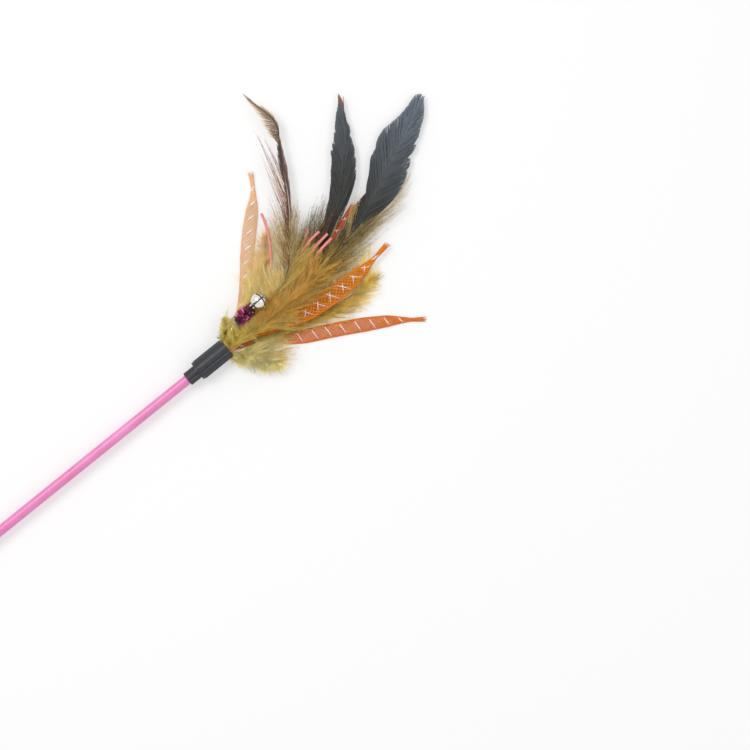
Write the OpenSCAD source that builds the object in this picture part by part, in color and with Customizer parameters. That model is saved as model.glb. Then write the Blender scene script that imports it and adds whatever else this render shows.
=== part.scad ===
// Cat teaser wand: a hollow rod whose ferrule holds a bundle of feathers, net tubes, laces and a bell.
// X runs along the rod from its butt to the head, Y to the left seen from above, and Z up.
// The origin is the centre of the rod's butt. The wand lies flat, resting on its ferrule.

/* [Rod] */
// Length of the rod that shows behind the ferrule
rod_show = 350; // [200:5:420]
// Depth of the rod's seat in the ferrule
rod_seat = 12; // [8:0.5:14]
// Outer diameter of the rod
rod_d = 5; // [4:0.1:5.6]
// Wall of the rod
rod_wall = 0.8; // [0.5:0.05:1.2]

/* [Ferrule] */
// Length of the ferrule's collar
collar_l = 6.3; // [4:0.1:9]
// Wall of the collar round the rod
collar_wall = 1; // [0.8:0.05:1.2]
// Length of the ferrule's body
body_l = 18.5; // [16:0.5:24]
// Wall of the body round the stems
body_wall = 1; // [0.7:0.05:1.4]
// Rounding of the body's shoulder
shoulder_r = 1.6; // [0.8:0.1:2]
// Rounding of the rims
rim_r = 0.3; // [0.1:0.05:0.4]
// Web between the rod and the glue
web_t = 1; // [0.6:0.1:1.5]
// Number of grooves round the ferrule
groove_n = 8; // [6:1:10]
// Radius of a groove
groove_r = 0.7; // [0.5:0.05:0.9]
// Depth of a groove
groove_depth = 0.35; // [0.2:0.05:0.45]

/* [Bundle] */
// Distance between neighbouring stems
stem_pitch = 1.65; // [1.6:0.05:1.9]
// Play between the bundle and the ferrule
bundle_play = 0.125; // [0.1:0.025:0.3]
// Depth of the stems in the ferrule
stem_seat = 6; // [4:0.5:8]
// Thickness of the binding thread
thread_t = 0.2; // [0.1:0.02:0.2]
// Turns of the binding thread
thread_turns = 12; // [6:1:16]
// Way past the mouth in which the stems fan out
fan_l = 22; // [18:1:26]

/* [Feathers] */
// Diameter of a feather's quill
quill_d = 1.2; // [0.9:0.05:1.25]
// Diameter of a rachis under its vane
rachis_d = 0.9; // [0.6:0.05:1]
// Thickness of a vane
vane_t = 0.5; // [0.3:0.05:0.6]
// Length of the barred feather past the mouth
barred_l = 142; // [130:1:150]
// Widest half of the barred feather
barred_w = 7; // [5:0.25:8]
// Length of the upper dark feather past the mouth
upper_l = 143; // [130:1:155]
// Half width of the upper dark feather
upper_w = 5.8; // [4.5:0.1:7]
// Length of the lower dark feather past the mouth
lower_l = 159; // [145:1:170]
// Half width of the lower dark feather
lower_w = 10; // [8:0.25:11]

/* [Net tubes] */
// Diameter of a net tube where it is gathered
gather_d = 1.25; // [1:0.05:1.3]
// Thickness of a net tube pressed flat
net_t = 1.2; // [0.8:0.05:1.2]
// Length of the left net tube past the mouth
net_left_l = 85; // [75:1:95]
// Half width of the left net tube
net_left_w = 3.3; // [2.8:0.1:3.6]
// Length of the right net tube past the mouth
net_right_l = 93; // [80:1:105]
// Half width of the right net tube
net_right_w = 4.2; // [3.4:0.1:4.6]
// Length of the lower net tube past the mouth
net_lower_l = 96; // [80:1:105]
// Half width of the lower net tube
net_lower_w = 3.4; // [2.8:0.1:3.7]
// Length of the back net tube past the mouth
net_back_l = 93; // [80:1:98]
// Half width of the back net tube
net_back_w = 1.9; // [1.5:0.1:2.2]

/* [Marabou] */
// Diameter of a marabou quill
down_quill_d = 1; // [0.7:0.05:1.2]
// Length of the left tuft
left_tuft_l = 13; // [10:0.5:14]
// Half width of the left tuft
left_tuft_w = 3.6; // [3:0.1:4]
// Length of the right tuft
right_tuft_l = 24; // [20:0.5:26]
// Half width of the right tuft
right_tuft_w = 4.8; // [4:0.1:5.2]
// Half thickness of the tufts
tuft_t = 3; // [2:0.1:3.4]
// Length of the left plume
left_plume_l = 65; // [55:1:70]
// Half width of the left plume
left_plume_w = 6; // [5:0.1:6.6]
// Length of the right plume
right_plume_l = 80; // [70:1:88]
// Half width of the right plume
right_plume_w = 7.2; // [6:0.1:7.6]
// Half thickness of the left and right plumes
plume_t = 1.9; // [1.4:0.05:2]
// Length of the centre plume
centre_plume_l = 59; // [50:1:64]
// Half width of the centre plume
centre_plume_w = 5.5; // [4.5:0.1:5.8]
// Half thickness of the centre plume
centre_plume_t = 2.6; // [2:0.1:2.8]

/* [Bell] */
// Diameter of the bell
bell_d = 8; // [7:0.1:8.2]
// Wall of the bell
bell_wall = 0.4; // [0.25:0.05:0.6]
// Width of the bell's slots
slot_w = 0.8; // [0.5:0.05:1]
// Radius of the hole at a slot's end
slot_end_r = 0.65; // [0.5:0.05:0.8]
// Height that the slots stop below the bell's middle
slot_stop = 0.9; // [0.8:0.05:1.5]
// Diameter of the pea in the bell
pea_d = 2.4; // [2:0.1:3]
// Play between the pea and the bell
pea_play = 0.1; // [0.05:0.05:0.3]
// Radius of the eyelet's hole
eyelet_r = 0.5; // [0.45:0.05:0.6]
// Width of the eyelet's ring
eyelet_w = 0.6; // [0.45:0.05:0.7]
// Thickness of the eyelet
eyelet_t = 0.5; // [0.3:0.05:0.6]
// Gap between the wire's pin and the bell
pin_gap = 0.6; // [0.5:0.05:0.8]
// Tilt of the bell's slots above level, at rest
bell_tilt = 58; // [50:1:70]

/* [Bell stem] */
// Diameter of the wire
wire_d = 0.6; // [0.4:0.05:0.7]
// Distance from the mouth to the wire's pin
pin_x = 23.8; // [23:0.1:25]
// Distance from the rod's axis to the bell's middle, to the left
pin_y = 7.7; // [7.4:0.1:8.4]
// Radius of the wire's bends in the stem
wire_bend_r = 5; // [4:0.25:6]
// Angle of the wire's bends in the stem
wire_bend = 32; // [26:1:36]
// Radius of the bends beside the pin
hook_bend_r = 0.5; // [0.4:0.05:0.6]
// Straight part of the pin
pin_l = 0.8; // [0.7:0.05:1]
// Length of the hook's free leg
hook_l = 2.2; // [1.5:0.1:2.5]
// Radius of the tinsel
tinsel_r = 1.85; // [1.4:0.05:1.95]
// Radius of the tinsel's core
tinsel_core_r = 0.75; // [0.6:0.05:0.9]
// Length of the tinsel
tinsel_l = 8.6; // [7:0.1:8.8]
// Gap between the tinsel and the pin
tinsel_gap = 3.7; // [3.6:0.1:4.5]
// Number of the tinsel's fins
tinsel_n = 5; // [4:1:6]
// Turns of the tinsel
tinsel_turns = 2; // [1:0.5:3]

/* [Laces] */
// Diameter of a lace
lace_d = 1.3; // [0.9:0.05:1.35]

/* [Hidden] */
$fn = 64;

// Running fit between parts that are glued or pressed together
fit = 0.02;
// Overrun of a cut past the face that it opens
over = 0.5;

rod_r = rod_d / 2;
rod_bore_r = rod_r - rod_wall;
rod_l = rod_show + rod_seat;
collar_r = rod_r + collar_wall;
ferrule_l = collar_l + body_l;
mouth_x = rod_show + ferrule_l;

// The stems stand in a honeycomb of five rows, whose middle row holds five of them
bundle_rows = 5;
row_h = stem_pitch * sin(60);
bore_r = stem_pitch * bundle_rows / 2 + bundle_play;
body_r = bore_r + body_wall;
stem_ring_r = stem_pitch * (bundle_rows - 1) / 2;

// Centre of a stem in the honeycomb, counted in columns to the left and rows up
function seat(column, row) = [stem_pitch * column, row_h * row];

// Smooth step from 0 to 1
function ease(u) = let (v = min(1, max(0, u))) v * v * (3 - 2 * v);

// Points [x, y] at even steps along a way whose heading follows a table over shares of its length
function way(length, headings, steps) = [
    for (i = 0, x = 0, y = 0; i <= steps;
         x = x + length / steps * cos(lookup((i + 0.5) / steps, headings)),
         y = y + length / steps * sin(lookup((i + 0.5) / steps, headings)),
         i = i + 1)
        [x, y]
];

// One ring of a sweep: points [left, up] set square to a heading
function ring(centre, heading, outline) = [
    for (p = outline)
        [centre[0] - sin(heading) * p[0], centre[1] + cos(heading) * p[0], centre[2] + p[1]]
];

// Height along a piece: from its row in the bundle to a table of shares of the ferrule's radius
function lift(length, t, start, lift_shares) =
    start + (body_r * lookup(t, lift_shares) - start) * ease(t * length / fan_l);

// Oval outline with its own half width to the left and to the right
function oval(left, right, half_t, sides) = [
    for (k = [0 : sides - 1])
        let (a = 360 * k / sides)
            [cos(a) * (cos(a) > 0 ? left : right), sin(a) * half_t]
];

// Outline of a feather: a vane on both sides of a rachis that stands proud of it
rachis_foot_shares = [0.6, 0.8];
function vane(left, right, rachis_r) =
    let (
        foot = rachis_r * rachis_foot_shares[0],
        side = rachis_r * rachis_foot_shares[1],
        thin = min(vane_t, rachis_r) / 2,
        mid_left = (left + foot) / 2,
        mid_right = (right + foot) / 2
    )
        [
            [left, 0], [mid_left, thin], [foot, side], [0, rachis_r],
            [-foot, side], [-mid_right, thin], [-right, 0], [-mid_right, -thin],
            [-foot, -side], [0, -rachis_r], [foot, -side], [mid_left, -thin]
        ];

// Middle of a ring's points
function middle(points) = [for (p = points) 1] * points / len(points);

// A closed skin over rings of as many points each, with a fan of triangles on both ends
module skin(rings) {
    sides = len(rings[0]);
    last = len(rings) - 1;
    hub = sides * (last + 1);
    points = concat([for (r = rings) each r], [middle(rings[0]), middle(rings[last])]);
    faces = concat(
        [for (i = [0 : last - 1]) for (k = [0 : sides - 1])
            let (a = i * sides + k, b = i * sides + (k + 1) % sides)
                each [[a, b + sides, b], [a, a + sides, b + sides]]],
        [for (k = [0 : sides - 1]) [k, (k + 1) % sides, hub]],
        [for (k = [0 : sides - 1]) let (a = last * sides) [a + (k + 1) % sides, a + k, hub + 1]]
    );
    polyhedron(points = points, faces = faces, convexity = 6);
}

// Rings of a soft piece: a straight stem in the ferrule, then one outline a step past the mouth
function rings_along(place, length, headings, lift_shares, stem, outlines) =
    let (steps = len(outlines) - 1, line = way(length, headings, steps))
        concat(
            [for (x = [-stem_seat, -stem_seat / 2]) ring([x, place[0], place[1]], 0, stem)],
            [for (i = [0 : steps])
                let (t = i / steps)
                    ring(
                        [line[i][0], place[0] + line[i][1], lift(length, t, place[1], lift_shares)],
                        lookup(t, headings), outlines[i])]
        );

// A feather: quill, rachis and vane
rachis_taper_shares = [[0, 1], [0.3, 1], [1, 0.15]];
feather_steps = 34;
module feather(place, length, headings, lift_shares, width, left_shares, right_shares) {
    quill_r = quill_d / 2;
    outlines = [
        for (i = [0 : feather_steps])
            let (
                t = i / feather_steps,
                bare = ease(t * length / fan_l),
                rachis_r = (quill_r + (rachis_d / 2 - quill_r) * bare) * lookup(t, rachis_taper_shares)
            )
                vane(
                    max(rachis_r, width * lookup(t, left_shares)),
                    max(rachis_r, width * lookup(t, right_shares)), rachis_r)
    ];
    translate([mouth_x, 0, 0])
        skin(rings_along(place, length, headings, lift_shares, vane(quill_r, quill_r, quill_r), outlines));
}

// A plume or tuft of down round its quill
down_taper_shares = [[0, 1], [0.5, 0.8], [1, 0.2]];
down_steps = 20;
down_sides = 10;
module plume(place, length, headings, lift_shares, width, width_shares, half_t, thick_shares) {
    quill_r = down_quill_d / 2;
    outlines = [
        for (i = [0 : down_steps])
            let (
                t = i / down_steps,
                core = quill_r * lookup(t, down_taper_shares),
                w = max(core, width * lookup(t, width_shares))
            )
                oval(w, w, max(core, half_t * lookup(t, thick_shares)), down_sides)
    ];
    translate([mouth_x, 0, 0])
        skin(rings_along(
            place, length, headings, lift_shares, oval(quill_r, quill_r, quill_r, down_sides), outlines));
}

// A net tube: gathered in the bundle, pressed flat past it, drawn in and open again at its end
net_thick_shares = [[0, 1], [0.85, 1], [0.92, 0.6], [1, 0.7]];
net_steps = 26;
net_sides = 10;
module net_tube(place, length, headings, lift_shares, width, width_shares) {
    gather_r = gather_d / 2;
    outlines = [
        for (i = [0 : net_steps])
            let (
                t = i / net_steps,
                opened = ease(t * length / fan_l),
                wide = width * lookup(t, width_shares),
                w = gather_r + (wide - gather_r) * opened,
                h = gather_r + (net_t / 2 - gather_r) * opened
            )
                oval(w, w, h * lookup(t, net_thick_shares), net_sides)
    ];
    translate([mouth_x, 0, 0])
        skin(rings_along(
            place, length, headings, lift_shares, oval(gather_r, gather_r, gather_r, net_sides), outlines));
}

// Heading at a point of a hand-laid route, from its two neighbours
function turn_at(route, i) =
    let (a = route[max(0, i - 1)], b = route[min(len(route) - 1, i + 1)])
        atan2(b[1] - a[1], b[0] - a[0]);

// A lace swept along a hand-laid route that starts behind the mouth
lace_sides = 8;
module lace(route) {
    outline = oval(lace_d / 2, lace_d / 2, lace_d / 2, lace_sides);
    translate([mouth_x, 0, 0])
        skin([for (i = [0 : len(route) - 1]) ring(route[i], turn_at(route, i), outline)]);
}

// Routes of the laces, from the mouth: points [x, y, z] laid by hand
lace_1_route = [
    [-6, 1.65, 0], [-3, 1.65, 0], [0, 1.65, 0], [5, 2.3, 0], [10, 3.9, 0], [15, 5.8, 0], [20, 7.8, 0.1],
    [25, 9.8, 0.3], [30, 11.6, 0.5], [35, 13.6, 0.6], [38.5, 15.2, 0.6], [41.5, 17.6, 0.5],
    [44, 20.6, 0.4], [46.8, 24.4, 0.3], [49, 28, 0.2], [51, 32, 0.1], [52.7, 36, 0], [54, 40.5, -0.1]
];
lace_2_route = [
    [-6, 0.825, 1.43], [-3, 0.825, 1.43], [0, 0.825, 1.43], [6, 1, 1.43], [13, 1.4, 1.43],
    [20, 1.9, 1.43], [26, 2.5, 1.43], [32, 3.2, 1.43], [38, 4.2, 1.43], [43, 5.8, 1.43],
    [48, 8, 1.43], [53, 10.6, 1.43], [57, 12.6, 1.43], [61, 14.3, 1.43], [65, 15.3, 1.4], [70.5, 15.8, 1.3]
];
lace_3_route = [
    [-6, -0.825, 1.43], [-3, -0.825, 1.43], [0, -0.825, 1.43], [7, -0.7, 1.43], [14, -0.4, 1.43],
    [21, 0.1, 1.43], [28, 0.8, 1.43], [35, 1.7, 1.43], [41, 2.9, 1.43], [46, 4.5, 1.43],
    [51, 6.3, 1.43], [56, 8.4, 1.43], [61, 10.2, 1.4], [67, 11.6, 1.35], [73, 12.4, 1.3]
];
lace_4_route = [
    [-6, -2.475, 1.43], [-3, -2.475, 1.43], [0, -2.475, 1.43], [7, -2.4, 1.43], [14, -2.15, 1.43],
    [21, -1.7, 1.43], [27, -1.15, 1.43], [33, -0.4, 1.43], [39, 0.6, 1.43], [44.5, 2, 1.43],
    [50, 3.7, 1.43], [56, 5.8, 1.42], [62, 7.6, 1.4], [67.5, 8.8, 1.35], [73, 9.4, 1.3]
];
lace_5_route = [
    [-6, 0, 0], [-3, 0, 0], [0, 0, 0], [8, 0.2, 0], [16, 0.8, 0], [24, 1.9, 0], [32, 3.3, 0],
    [40, 5.6, 0], [46, 8.5, 0], [51, 11.2, 0], [55, 13.4, 0], [59, 15.4, 0], [62, 16.8, 0.1],
    [64.5, 18.4, 0.2], [67, 20.8, 0.3]
];

module rod() {
    color("hotpink")
        rotate([0, 90, 0])
            difference() {
                cylinder(h = rod_l, r = rod_r);
                translate([0, 0, -over]) cylinder(h = rod_l + 2 * over, r = rod_bore_r);
            }
}

// Outside of the ferrule: a collar, a round shoulder and a straight body
module ferrule_outline() {
    collar_in = collar_l + over;
    union() {
        translate([0, rim_r]) square([collar_r, collar_in]);
        square([collar_r - rim_r, collar_in]);
        translate([collar_r - rim_r, rim_r]) circle(r = rim_r);
        translate([0, collar_l]) square([body_r - shoulder_r, body_l]);
        translate([0, collar_l + shoulder_r]) square([body_r, body_l - shoulder_r - rim_r]);
        translate([body_r - shoulder_r, collar_l + shoulder_r]) circle(r = shoulder_r);
        translate([0, collar_l]) square([body_r - rim_r, body_l]);
    }
}

module ferrule() {
    glue_x = rod_seat + web_t;
    groove_reach = groove_r - groove_depth;
    color("#26282b")
        translate([rod_show, 0, 0])
            rotate([0, 90, 0])
                difference() {
                    rotate_extrude() ferrule_outline();
                    translate([0, 0, -over]) cylinder(h = rod_seat + over, r = rod_r + fit);
                    translate([0, 0, glue_x]) cylinder(h = ferrule_l, r = bore_r);
                    for (k = [0 : groove_n - 1]) rotate([0, 0, 360 * (k + 0.5) / groove_n]) {
                        translate([body_r + groove_reach, 0, collar_l + shoulder_r])
                            cylinder(h = body_l, r = groove_r);
                        translate([collar_r + groove_reach, 0, -over])
                            cylinder(h = collar_l, r = groove_r);
                    }
                }
}

module glue_plug() {
    glue_x = rod_show + rod_seat + web_t;
    color("#e9dfb8")
        translate([glue_x, 0, 0])
            rotate([0, 90, 0]) cylinder(h = mouth_x - stem_seat - glue_x, r = bore_r - fit);
}

// The thread lies in rings round the bundle, just inside the mouth
module binding_thread() {
    inner_r = stem_ring_r + quill_d / 2 + fit;
    wound_l = thread_t * thread_turns;
    color("#d8d2c4")
        translate([mouth_x - stem_seat / 2 - wound_l / 2, 0, 0])
            rotate([0, 90, 0])
                rotate_extrude() {
                    translate([inner_r, 0]) square([thread_t / 2, wound_l]);
                    for (k = [0 : thread_turns - 1])
                        translate([inner_r + thread_t / 2, thread_t * (k + 0.5)]) circle(d = thread_t, $fn = 16);
                }
}

// Place of the bell's pin, on the wire's level
pin_z = row_h * 2;
eyelet_outer_r = eyelet_r + eyelet_w;
bell_r = bell_d / 2;
bell_reach = bell_r + wire_d / 2 + pin_gap;
wire_r = wire_d / 2;
knee_share = 1.06;
knee_r = wire_r * knee_share;
knee_gap = wire_r / 5;
leg_y = pin_l / 2 + hook_bend_r;

// The wire: an S-shaped way from the bundle to a straight leg, the cross pin and a short free leg
module stem_wire() {
    root = seat(1, 2);
    offset_y = pin_y - leg_y - root[0];
    bend_y = wire_bend_r * (1 - cos(wire_bend));
    bend_x = wire_bend_r * sin(wire_bend);
    slant_l = (offset_y - 2 * bend_y) / sin(wire_bend);
    leg_x = 2 * bend_x + slant_l * cos(wire_bend);
    knee_x = pin_x - hook_bend_r;
    color("silver")
        translate([mouth_x, root[0], pin_z]) {
            straight_wire(-stem_seat, -knee_gap);
            translate([0, wire_bend_r, 0]) bent_wire(wire_bend_r, -90, wire_bend);
            translate([bend_x, bend_y, 0])
                rotate([0, 0, wire_bend]) straight_wire(knee_gap, slant_l - knee_gap);
            translate([leg_x, offset_y - wire_bend_r, 0]) bent_wire(wire_bend_r, 90, wire_bend);
            translate([0, offset_y, 0]) straight_wire(leg_x + knee_gap, knee_x - knee_gap);
            translate([knee_x, offset_y + hook_bend_r, 0]) {
                bent_wire(hook_bend_r, -90, 90);
                translate([hook_bend_r, 0, 0]) rotate([0, 0, 90]) straight_wire(knee_gap, pin_l - knee_gap);
                translate([0, pin_l, 0]) bent_wire(hook_bend_r, 0, 90);
                translate([0, pin_l + hook_bend_r, 0]) straight_wire(-hook_l, -knee_gap);
            }
        }
}

// A straight run of the wire along X, which stops just short of the bends beside it
module straight_wire(from, to) {
    translate([from, 0, 0]) rotate([0, 90, 0]) cylinder(h = to - from, r = wire_r);
}

// A bend of the wire about the origin, with the slight swelling of the pressed metal at both ends
module bent_wire(radius, from, angle) {
    rotate([0, 0, from]) {
        rotate_extrude(angle = angle) translate([radius, 0]) circle(r = wire_r, $fn = 24);
        for (a = [0, angle]) rotate([0, 0, a]) translate([radius, 0, 0]) sphere(r = knee_r, $fn = 24);
    }
}

// Foil fins wound round the wire's straight leg
module stem_tinsel() {
    core_shares = [for (k = [0 : 2 * tinsel_n - 1]) k % 2 == 0 ? 1 : tinsel_core_r / tinsel_r];
    star = [for (k = [0 : 2 * tinsel_n - 1])
        let (a = 180 * k / tinsel_n, r = tinsel_r * core_shares[k]) [r * cos(a), r * sin(a)]];
    color("#a0206a")
        translate([mouth_x + pin_x - tinsel_gap - tinsel_l, pin_y - leg_y, pin_z])
            rotate([0, 90, 0])
                linear_extrude(height = tinsel_l, twist = 360 * tinsel_turns, slices = 36, $fn = 12)
                    difference() {
                        polygon(star);
                        circle(r = wire_r + fit + fit, $fn = 12);
                    }
}

// Places the bell's own frame: its eyelet up, its slots down, its middle at the origin
module at_bell() {
    middle = [mouth_x + pin_x + bell_reach * cos(bell_tilt), pin_y, pin_z + bell_reach * sin(bell_tilt)];
    translate(middle) rotate([0, -90 - bell_tilt, 0]) children();
}

module bell_shell() {
    color("silver")
        at_bell()
            difference() {
                sphere(r = bell_r);
                sphere(r = bell_r - bell_wall);
                for (a = [0, 90]) rotate([0, 0, a]) {
                    translate([-bell_r - over, -slot_w / 2, -bell_r - over])
                        cube([2 * (bell_r + over), slot_w, bell_r + over - slot_stop]);
                    translate([-bell_r - over, 0, -slot_stop])
                        rotate([0, 90, 0]) cylinder(h = 2 * (bell_r + over), r = slot_end_r);
                }
            }
}

module bell_eyelet() {
    color("silver")
        at_bell()
            difference() {
                translate([0, eyelet_t / 2, bell_reach])
                    rotate([90, 0, 0])
                        difference() {
                            union() {
                                cylinder(h = eyelet_t, r = eyelet_outer_r);
                                translate([-eyelet_w, -bell_reach + bell_r - bell_wall, 0])
                                    cube([2 * eyelet_w, bell_reach - bell_r + bell_wall - eyelet_r, eyelet_t]);
                            }
                            translate([0, 0, -over]) cylinder(h = eyelet_t + 2 * over, r = eyelet_r);
                        }
                sphere(r = bell_r);
            }
}

module bell_pea() {
    pea_r = pea_d / 2;
    low = bell_r - bell_wall - pea_r - pea_play;
    middle_z = pin_z + bell_reach * sin(bell_tilt);
    color("gray")
        translate([mouth_x + pin_x + bell_reach * cos(bell_tilt), pin_y, middle_z - low])
            sphere(r = pea_r);
}

module mesh_tube_left() {
    headings = [
        [0, 12], [0.1, 29], [0.18, 32], [0.27, 39], [0.36, 45], [0.5, 48],
        [0.7, 44], [0.82, 44], [0.88, 51], [0.95, 59], [1, 60]
    ];
    lift_shares = [[0, -0.4], [0.3, -0.87], [1, -0.87]];
    width_shares = [
        [0, 0.19], [0.08, 0.2], [0.2, 0.5], [0.32, 0.75], [0.5, 0.98], [0.7, 1],
        [0.8, 0.85], [0.87, 0.45], [0.92, 0.25], [0.96, 0.28], [1, 0.36]
    ];
    color("#f0a060")
        net_tube(seat(1.5, -1), net_left_l, headings, lift_shares, net_left_w, width_shares);
}

module mesh_tube_right() {
    headings = [
        [0, -4], [0.1, -9], [0.2, -15], [0.33, -18.5], [0.45, -12], [0.5, -4],
        [0.6, -3.4], [0.72, 0], [0.8, 4], [0.88, 8], [1, 10]
    ];
    lift_shares = [[0, 0], [0.6, 0.05], [1, -0.4]];
    width_shares = [
        [0, 0.15], [0.1, 0.25], [0.25, 0.6], [0.4, 0.85], [0.55, 1], [0.7, 0.98],
        [0.8, 0.7], [0.87, 0.35], [0.92, 0.2], [1, 0.28]
    ];
    color("#e8791e")
        net_tube(seat(-1, 0), net_right_l, headings, lift_shares, net_right_w, width_shares);
}

module mesh_tube_lower() {
    headings = [
        [0, -8], [0.08, -18], [0.18, -31], [0.28, -38], [0.37, -30], [0.45, -26],
        [0.6, -28.5], [0.8, -31], [0.9, -37], [1, -37]
    ];
    lift_shares = [[0, -0.4], [0.3, -0.87], [1, -0.87]];
    width_shares = [
        [0, 0.18], [0.1, 0.3], [0.2, 0.6], [0.3, 0.85], [0.4, 1], [0.7, 1],
        [0.82, 0.8], [0.9, 0.4], [0.94, 0.22], [1, 0.3]
    ];
    color("#e8702a")
        net_tube(seat(-1.5, -1), net_lower_l, headings, lift_shares, net_lower_w, width_shares);
}

module mesh_tube_back() {
    headings = [[0, 0], [0.1, 2], [0.3, 7.5], [0.55, 9.5], [0.75, 13], [0.87, 17], [1, 22]];
    lift_shares = [[0, -0.55], [1, -0.6]];
    width_shares = [[0, 0.32], [0.1, 0.4], [0.3, 0.8], [0.5, 1], [0.8, 0.95], [0.93, 0.6], [1, 0.5]];
    color("#d9622a")
        net_tube(seat(0, -2), net_back_l, headings, lift_shares, net_back_w, width_shares);
}

module pink_lace_1() { color("#f08a95") lace(lace_1_route); }
module pink_lace_2() { color("#f08a95") lace(lace_2_route); }
module pink_lace_3() { color("#f08a95") lace(lace_3_route); }
module pink_lace_4() { color("#f08a95") lace(lace_4_route); }
module pink_lace_5() { color("#f08a95") lace(lace_5_route); }

module barred_feather() {
    headings = [
        [0, 1], [0.1, 3], [0.2, 6], [0.27, 14], [0.31, 33], [0.35, 43], [0.44, 50], [0.55, 56],
        [0.66, 63], [0.73, 60], [0.78, 54], [0.82, 60], [0.85, 80], [0.88, 100], [0.92, 106],
        [0.96, 104], [1, 92]
    ];
    lift_shares = [[0, 0.27], [0.4, 0.27], [0.7, 0.1], [0.85, 0.3], [1, 0.6]];
    left_shares = [
        [0, 0], [0.3, 0.1], [0.34, 0.25], [0.4, 0.75], [0.46, 1], [0.52, 0.93], [0.6, 0.6], [0.68, 0.3],
        [0.78, 0.25], [0.82, 0.6], [0.86, 0.75], [0.9, 0.4], [0.95, 0.15], [1, 0.02]
    ];
    right_shares = [
        [0, 0], [0.3, 0.1], [0.4, 0.35], [0.5, 0.42], [0.6, 0.3], [0.7, 0.3], [0.76, 0.1],
        [0.84, 0.12], [0.89, 0.28], [0.94, 0.2], [1, 0.02]
    ];
    color("#8a6a3a")
        feather(seat(1.5, 1), barred_l, headings, lift_shares, barred_w, left_shares, right_shares);
}

module dark_feather_upper() {
    headings = [
        [0, 2], [0.2, 4], [0.28, 8], [0.43, 14], [0.5, 21], [0.55, 29], [0.62, 39],
        [0.7, 45], [0.8, 49], [0.9, 53], [1, 53]
    ];
    lift_shares = [[0, -0.27], [0.5, -0.25], [0.75, 0], [1, -0.35]];
    left_shares = [
        [0, 0], [0.48, 0.1], [0.55, 0.35], [0.6, 0.55], [0.67, 0.85], [0.75, 0.98],
        [0.77, 0.86], [0.79, 0.95], [0.85, 0.72], [0.93, 0.4], [1, 0.03]
    ];
    right_shares = [
        [0, 0], [0.48, 0.1], [0.56, 0.55], [0.62, 0.9], [0.7, 1], [0.74, 0.9], [0.76, 0.98],
        [0.84, 0.85], [0.93, 0.38], [1, 0.03]
    ];
    color("#23292a")
        feather(seat(0.5, -1), upper_l, headings, lift_shares, upper_w, left_shares, right_shares);
}

module dark_feather_lower() {
    headings = [
        [0, -1], [0.2, 1], [0.3, 5], [0.4, 9], [0.47, 11.5], [0.54, 15], [0.62, 22],
        [0.7, 29], [0.8, 25], [0.9, 21], [1, 22]
    ];
    lift_shares = [[0, -0.27], [0.5, -0.25], [0.75, -0.05], [1, -0.5]];
    left_shares = [
        [0, 0], [0.44, 0.1], [0.5, 0.32], [0.57, 0.55], [0.63, 0.55], [0.7, 0.85], [0.77, 1],
        [0.82, 0.88], [0.88, 0.65], [0.94, 0.42], [0.98, 0.25], [1, 0.03]
    ];
    right_shares = [
        [0, 0], [0.44, 0.1], [0.5, 0.3], [0.57, 0.6], [0.63, 0.8], [0.7, 0.95], [0.77, 1],
        [0.795, 0.86], [0.81, 0.93], [0.84, 0.72], [0.86, 0.76], [0.9, 0.6], [0.94, 0.45], [1, 0.03]
    ];
    color("#2a3033")
        feather(seat(-0.5, -1), lower_l, headings, lift_shares, lower_w, left_shares, right_shares);
}

module marabou_left_tuft() {
    width_shares = [[0, 0.14], [0.2, 0.5], [0.45, 0.95], [0.65, 1], [0.85, 0.65], [1, 0.15]];
    color("#a89a48")
        plume(
            seat(2, 0), left_tuft_l, [[0, 0], [0.2, 60], [1, 58]], [[0, 0], [1, -0.2]],
            left_tuft_w, width_shares, tuft_t, width_shares);
}

module marabou_right_tuft() {
    width_shares = [[0, 0.1], [0.15, 0.4], [0.35, 0.88], [0.6, 1], [0.82, 0.68], [1, 0.15]];
    color("#a89a48")
        plume(
            seat(-2, 0), right_tuft_l, [[0, -30], [0.15, -50], [0.5, -57], [1, -55]],
            [[0, 0], [1, -0.3]], right_tuft_w, width_shares, tuft_t, width_shares);
}

module marabou_left_plume() {
    headings = [[0, 6], [0.15, 14], [0.3, 23], [0.45, 32], [0.6, 40], [0.8, 46], [1, 48]];
    width_shares = [[0, 0.08], [0.12, 0.12], [0.25, 0.42], [0.45, 0.85], [0.65, 1], [0.85, 0.72], [1, 0.12]];
    color("#b5a95a")
        plume(
            seat(1, -2), left_plume_l, headings, [[0, -0.58], [1, -0.6]],
            left_plume_w, width_shares, plume_t, width_shares);
}

module marabou_centre_plume() {
    headings = [[0, -1], [0.2, -3], [0.45, 0], [0.7, 7], [1, 13]];
    width_shares = [[0, 0.1], [0.1, 0.33], [0.2, 0.65], [0.4, 0.95], [0.6, 1], [0.8, 0.8], [0.93, 0.45], [1, 0.1]];
    color("#a07a2e")
        plume(
            seat(-1, 2), centre_plume_l, headings, [[0, 0.8], [0.4, 1.02], [1, 1.02]],
            centre_plume_w, width_shares, centre_plume_t, width_shares);
}

module marabou_right_plume() {
    headings = [
        [0, -2], [0.1, -8], [0.2, -18], [0.35, -22], [0.5, -18], [0.65, -13], [0.8, -8], [1, -2]
    ];
    width_shares = [
        [0, 0.07], [0.15, 0.1], [0.27, 0.32], [0.4, 0.58], [0.52, 0.64],
        [0.65, 0.9], [0.8, 1], [0.92, 0.6], [1, 0.12]
    ];
    color("#b08a35")
        plume(
            seat(-1, -2), right_plume_l, headings, [[0, -0.6], [1, -0.62]],
            right_plume_w, width_shares, plume_t, width_shares);
}

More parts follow.
